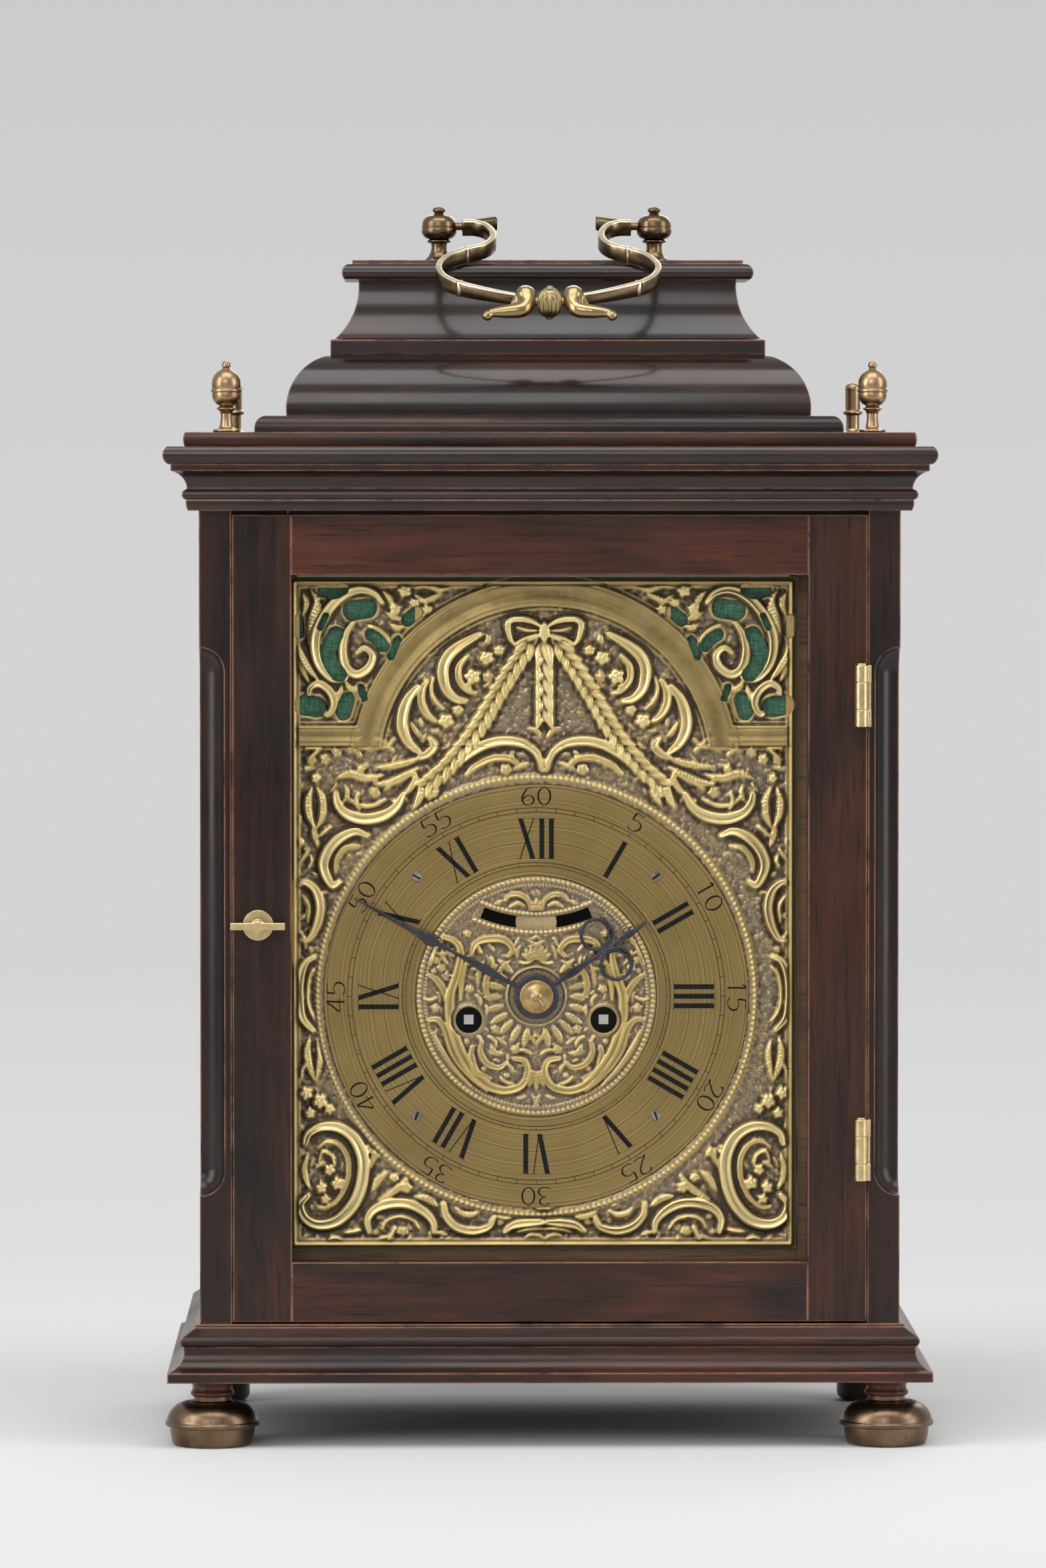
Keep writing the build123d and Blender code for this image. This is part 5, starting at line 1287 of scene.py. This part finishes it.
handle_parts, handle_skins = [], []


def handle_part(shape, kinds):
    handle_parts.append(shape)
    handle_skins.extend(kinds if isinstance(kinds, list) else [kinds] * len(shape[1]))


def squared(c):
    """Turns a circle's sine or cosine into that of a rounded oblong."""
    return math.copysign(abs(c) ** 0.55, c)


EDGE, SIDE, GILT = 0, 1, 2
for hand in (-1, 1):
    path = [(34.8, 1.4), (29.5, 1.8), (25.0, 5.4), (22.5, 12.6), (23.0, 20.0), (26.2, 25.8), (30.8, 28.8),
            (35.2, 31.4), (40.2, 36.2), (43.9, 43.6), (44.7, 50.8), (42.6, 58.2), (38.8, 63.2), (35.4, 66.0),
            (28.0, 70.2), (20.0, 74.0), (13.0, 76.6), (9.4, 77.4)]
    rings, raised = strip_rings([(hand * u, v) for u, v in path], ((0, 0.86, 1), (2.8, 2.5, 1.9)),
                                ((0, 0.7, 1), (6.6, 6.4, 4.6)), [(hand * 33.4, 30.4), (hand * 36.4, 65.2)])
    kinds = []
    for grow in raised[:-1]:
        face = EDGE if grow > 0.35 else SIDE
        kinds += [face, EDGE, EDGE, EDGE, face, EDGE, EDGE, EDGE]
    handle_part(skin(rings), kinds + [SIDE, SIDE])
    # the block behind each pin
    block_rings = []
    for u, back, front, n in ((35.0, -2.4, 2.0, 2.1), (34.6, -2.8, 2.3, 2.5), (30.0, -3.4, 2.0, 2.6),
                              (25.0, -4.8, 0.6, 2.7), (21.0, -6.2, -0.6, 2.8), (20.4, -6.0, -0.9, 2.5)):
        mid, half = (back + front) / 2, (front - back) / 2
        block_rings.append([bail(hand * u, mid + squared(a) * half, squared(b) * n)
                            for a, b in round_points(1, 16)])
    handle_part(skin(block_rings), SIDE)
    # the bulb with its drooping leaf, the leaf's curled end and a small curl beside the bulb
    bulb = ((0, 0.4), (0.02, 2.0), (0.05, 3.2), (0.10, 4.0), (0.17, 4.3), (0.26, 4.1), (0.45, 3.5),
            (0.7, 2.9), (0.9, 2.0), (1, 1.6))
    leaf = ((10.2, 73.0, -4.6), (9.9, 74.8, -2.6), (9.3, 79.0, 0.0), (11.4, 83.4, 1.4), (16.6, 84.6, 1.8),
            (22.0, 85.2, 2.0), (25.2, 86.0, 2.4))
    tip = ((23.4, 86.2, 2.6), (25.2, 86.6, 2.8), (27.6, 86.9, 2.9))
    curl = ((12.0, 75.6, -1.4), (13.2, 77.6, 0.2), (15.4, 79.4, 1.0))
    for line, radii, squash, count in ((leaf, bulb, 0.95, 24), (tip, (1.2, 2.0, 2.15, 1.6, 0.4), 1.0, 16),
                                       (curl, (2.2, 2.4, 1.9, 0.8), 1.0, 16)):
        handle_part(rod([(hand * u, v, n) for u, v, n in line], radii, squash, count), GILT)
handle_part(rod([(-9.5, 78.6, 0), (0, 79.4, 0), (9.5, 78.6, 0)], (1.7, 1.7, 1.7)), GILT)

# The hanging acorn: fourteen ribs round a ball, and a button at each end
ribs = []
for k in range(25):
    t = math.pi * k / 24
    reach, n = 5.25 * math.sin(t) ** 0.85, -6.3 * math.cos(t)
    ring = []
    for x, y in round_points(1, 96):
        swell = 1 - 0.24 * (1 - abs(math.sin(7 * math.atan2(y, x))) ** 0.7) * min(1.0, 2.2 * math.sin(t))
        ring.append(bail((reach * swell + 0.001) * x, 80.0 + reach * swell * y, n))
    ribs.append(ring)
handle_part(skin(ribs), GILT)
for n0, n1, radii in ((-7.2, -6.0, (0.5, 1.5, 1.6, 0.9)), (6.0, 7.3, (1.6, 1.7, 1.5, 0.5))):
    handle_part(rod([(0, 80.0, n0), (0, 80.02, (n0 + n1) / 2), (0, 80.0, n1)], radii), GILT)
handle = piece("bail_handle", *join(handle_parts), ["bail_edge", "bail_bronze", "leaf_gilt"],
               "aged_bronze", "handle", skins=handle_skins)
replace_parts(handle, "carrying_handle")

# Floor, lamps, world and camera

floor_mesh = bpy.data.meshes.new("floor")
SPOKES, RADII = 48, (0.3, 1.0, 3.0, 9.0, 30.0)
ring = [(0.0, 0.0, 0.0)] + [(x, y, 0.0) for radius in RADII for x, y in round_points(radius, SPOKES)]
floor_faces = [(0, 1 + k, 1 + (k + 1) % SPOKES) for k in range(SPOKES)]
for level in range(len(RADII) - 1):
    for k in range(SPOKES):
        a, b = 1 + level * SPOKES + k, 1 + level * SPOKES + (k + 1) % SPOKES
        floor_faces.append((a, a + SPOKES, b + SPOKES, b))
floor_mesh.from_pydata(ring, [], floor_faces)
floor_mesh.materials.append(bpy.data.materials.new("floor"))
floor_mesh.materials[0].use_nodes = True
tree = floor_mesh.materials[0].node_tree
tree.nodes.clear()
away = add(tree, "VectorMath", place_of(tree), operation="LENGTH").outputs["Value"]
paint = add(tree, "BsdfDiffuse", Color=(0.70, 0.70, 0.70)).outputs[0]
pale = ramp(tree, remap(tree, away, 0.5, 3.0), [(0.0, (0.74, 0.74, 0.74)), (1.0, (0.66, 0.66, 0.66))])
seen = times(tree, remap(tree, away, 0.30, 1.0), add(tree, "LightPath").outputs["Is Camera Ray"])
blend = add(tree, "MixShader", seen, paint, add(tree, "Emission", Color=pale).outputs[0])
add(tree, "OutputMaterial", Surface=blend.outputs[0])
floor = bpy.data.objects.new("floor", floor_mesh)
bpy.context.scene.collection.objects.link(floor)
floor.location.z = -0.0002


def aim(obj, place, target):
    """Stands a lamp or camera at a place, pointing at the target."""
    obj.location = place
    obj.rotation_euler = (Vector(target) - Vector(place)).to_track_quat("-Z", "Y").to_euler()
    bpy.context.scene.collection.objects.link(obj)


def lamp(name, place, size, power):
    light = bpy.data.lights.new(name, "AREA")
    light.shape = "RECTANGLE"
    light.size, light.size_y = size
    light.energy = power
    aim(bpy.data.objects.new(name, light), place, (0, 0, 0.25))


lamp("lamp_left", (-1.5, -0.9, 0.9), (0.7, 1.6), 16)
lamp("lamp_right", (1.6, -0.7, 0.8), (0.7, 1.6), 12)
lamp("lamp_top", (0.0, -0.6, 1.9), (1.8, 1.0), 18)
lamp("lamp_front", (-0.5, -2.6, 1.5), (1.4, 1.0), 14)
lamp("lamp_back", (0.4, 1.8, 1.2), (1.6, 1.0), 12)

world = bpy.data.worlds.new("studio")
world.use_nodes = True
bpy.context.scene.world = world
tree = world.node_tree
tree.nodes.clear()
height = add(tree, "SeparateXYZ", add(tree, "TexCoord").outputs["Generated"]).outputs["Z"]
sky = ramp(tree, remap(tree, height, -0.02, 0.09), [(0.0, (0.66, 0.66, 0.66)), (1.0, (0.58, 0.58, 0.58))])
rays = add(tree, "LightPath").outputs
seen = maths(tree, "MAXIMUM", rays["Is Camera Ray"], rays["Is Glossy Ray"])
seen = maths(tree, "MAXIMUM", seen, rays["Is Transmission Ray"])
soft = add(tree, "Background", Color=(1, 1, 1), Strength=0.42).outputs[0]
blend = add(tree, "MixShader", seen, soft, add(tree, "Background", Color=sky).outputs[0])
add(tree, "OutputWorld", Surface=blend.outputs[0])

# The photographer stood a little left of the middle, level with the cornice
EYE, LOOK_AT, LENS = (-0.0545, -3.232, 0.3914), (-0.0109, -0.082, 0.2684), 179.0
camera = bpy.data.cameras.new("camera")
camera.lens = LENS
camera.sensor_width = 36.0
camera.sensor_fit = "AUTO"
camera.clip_end = 100.0
eye = bpy.data.objects.new("camera", camera)
aim(eye, EYE, LOOK_AT)
bpy.context.scene.camera = eye
bpy.context.scene.view_settings.view_transform = "Standard"
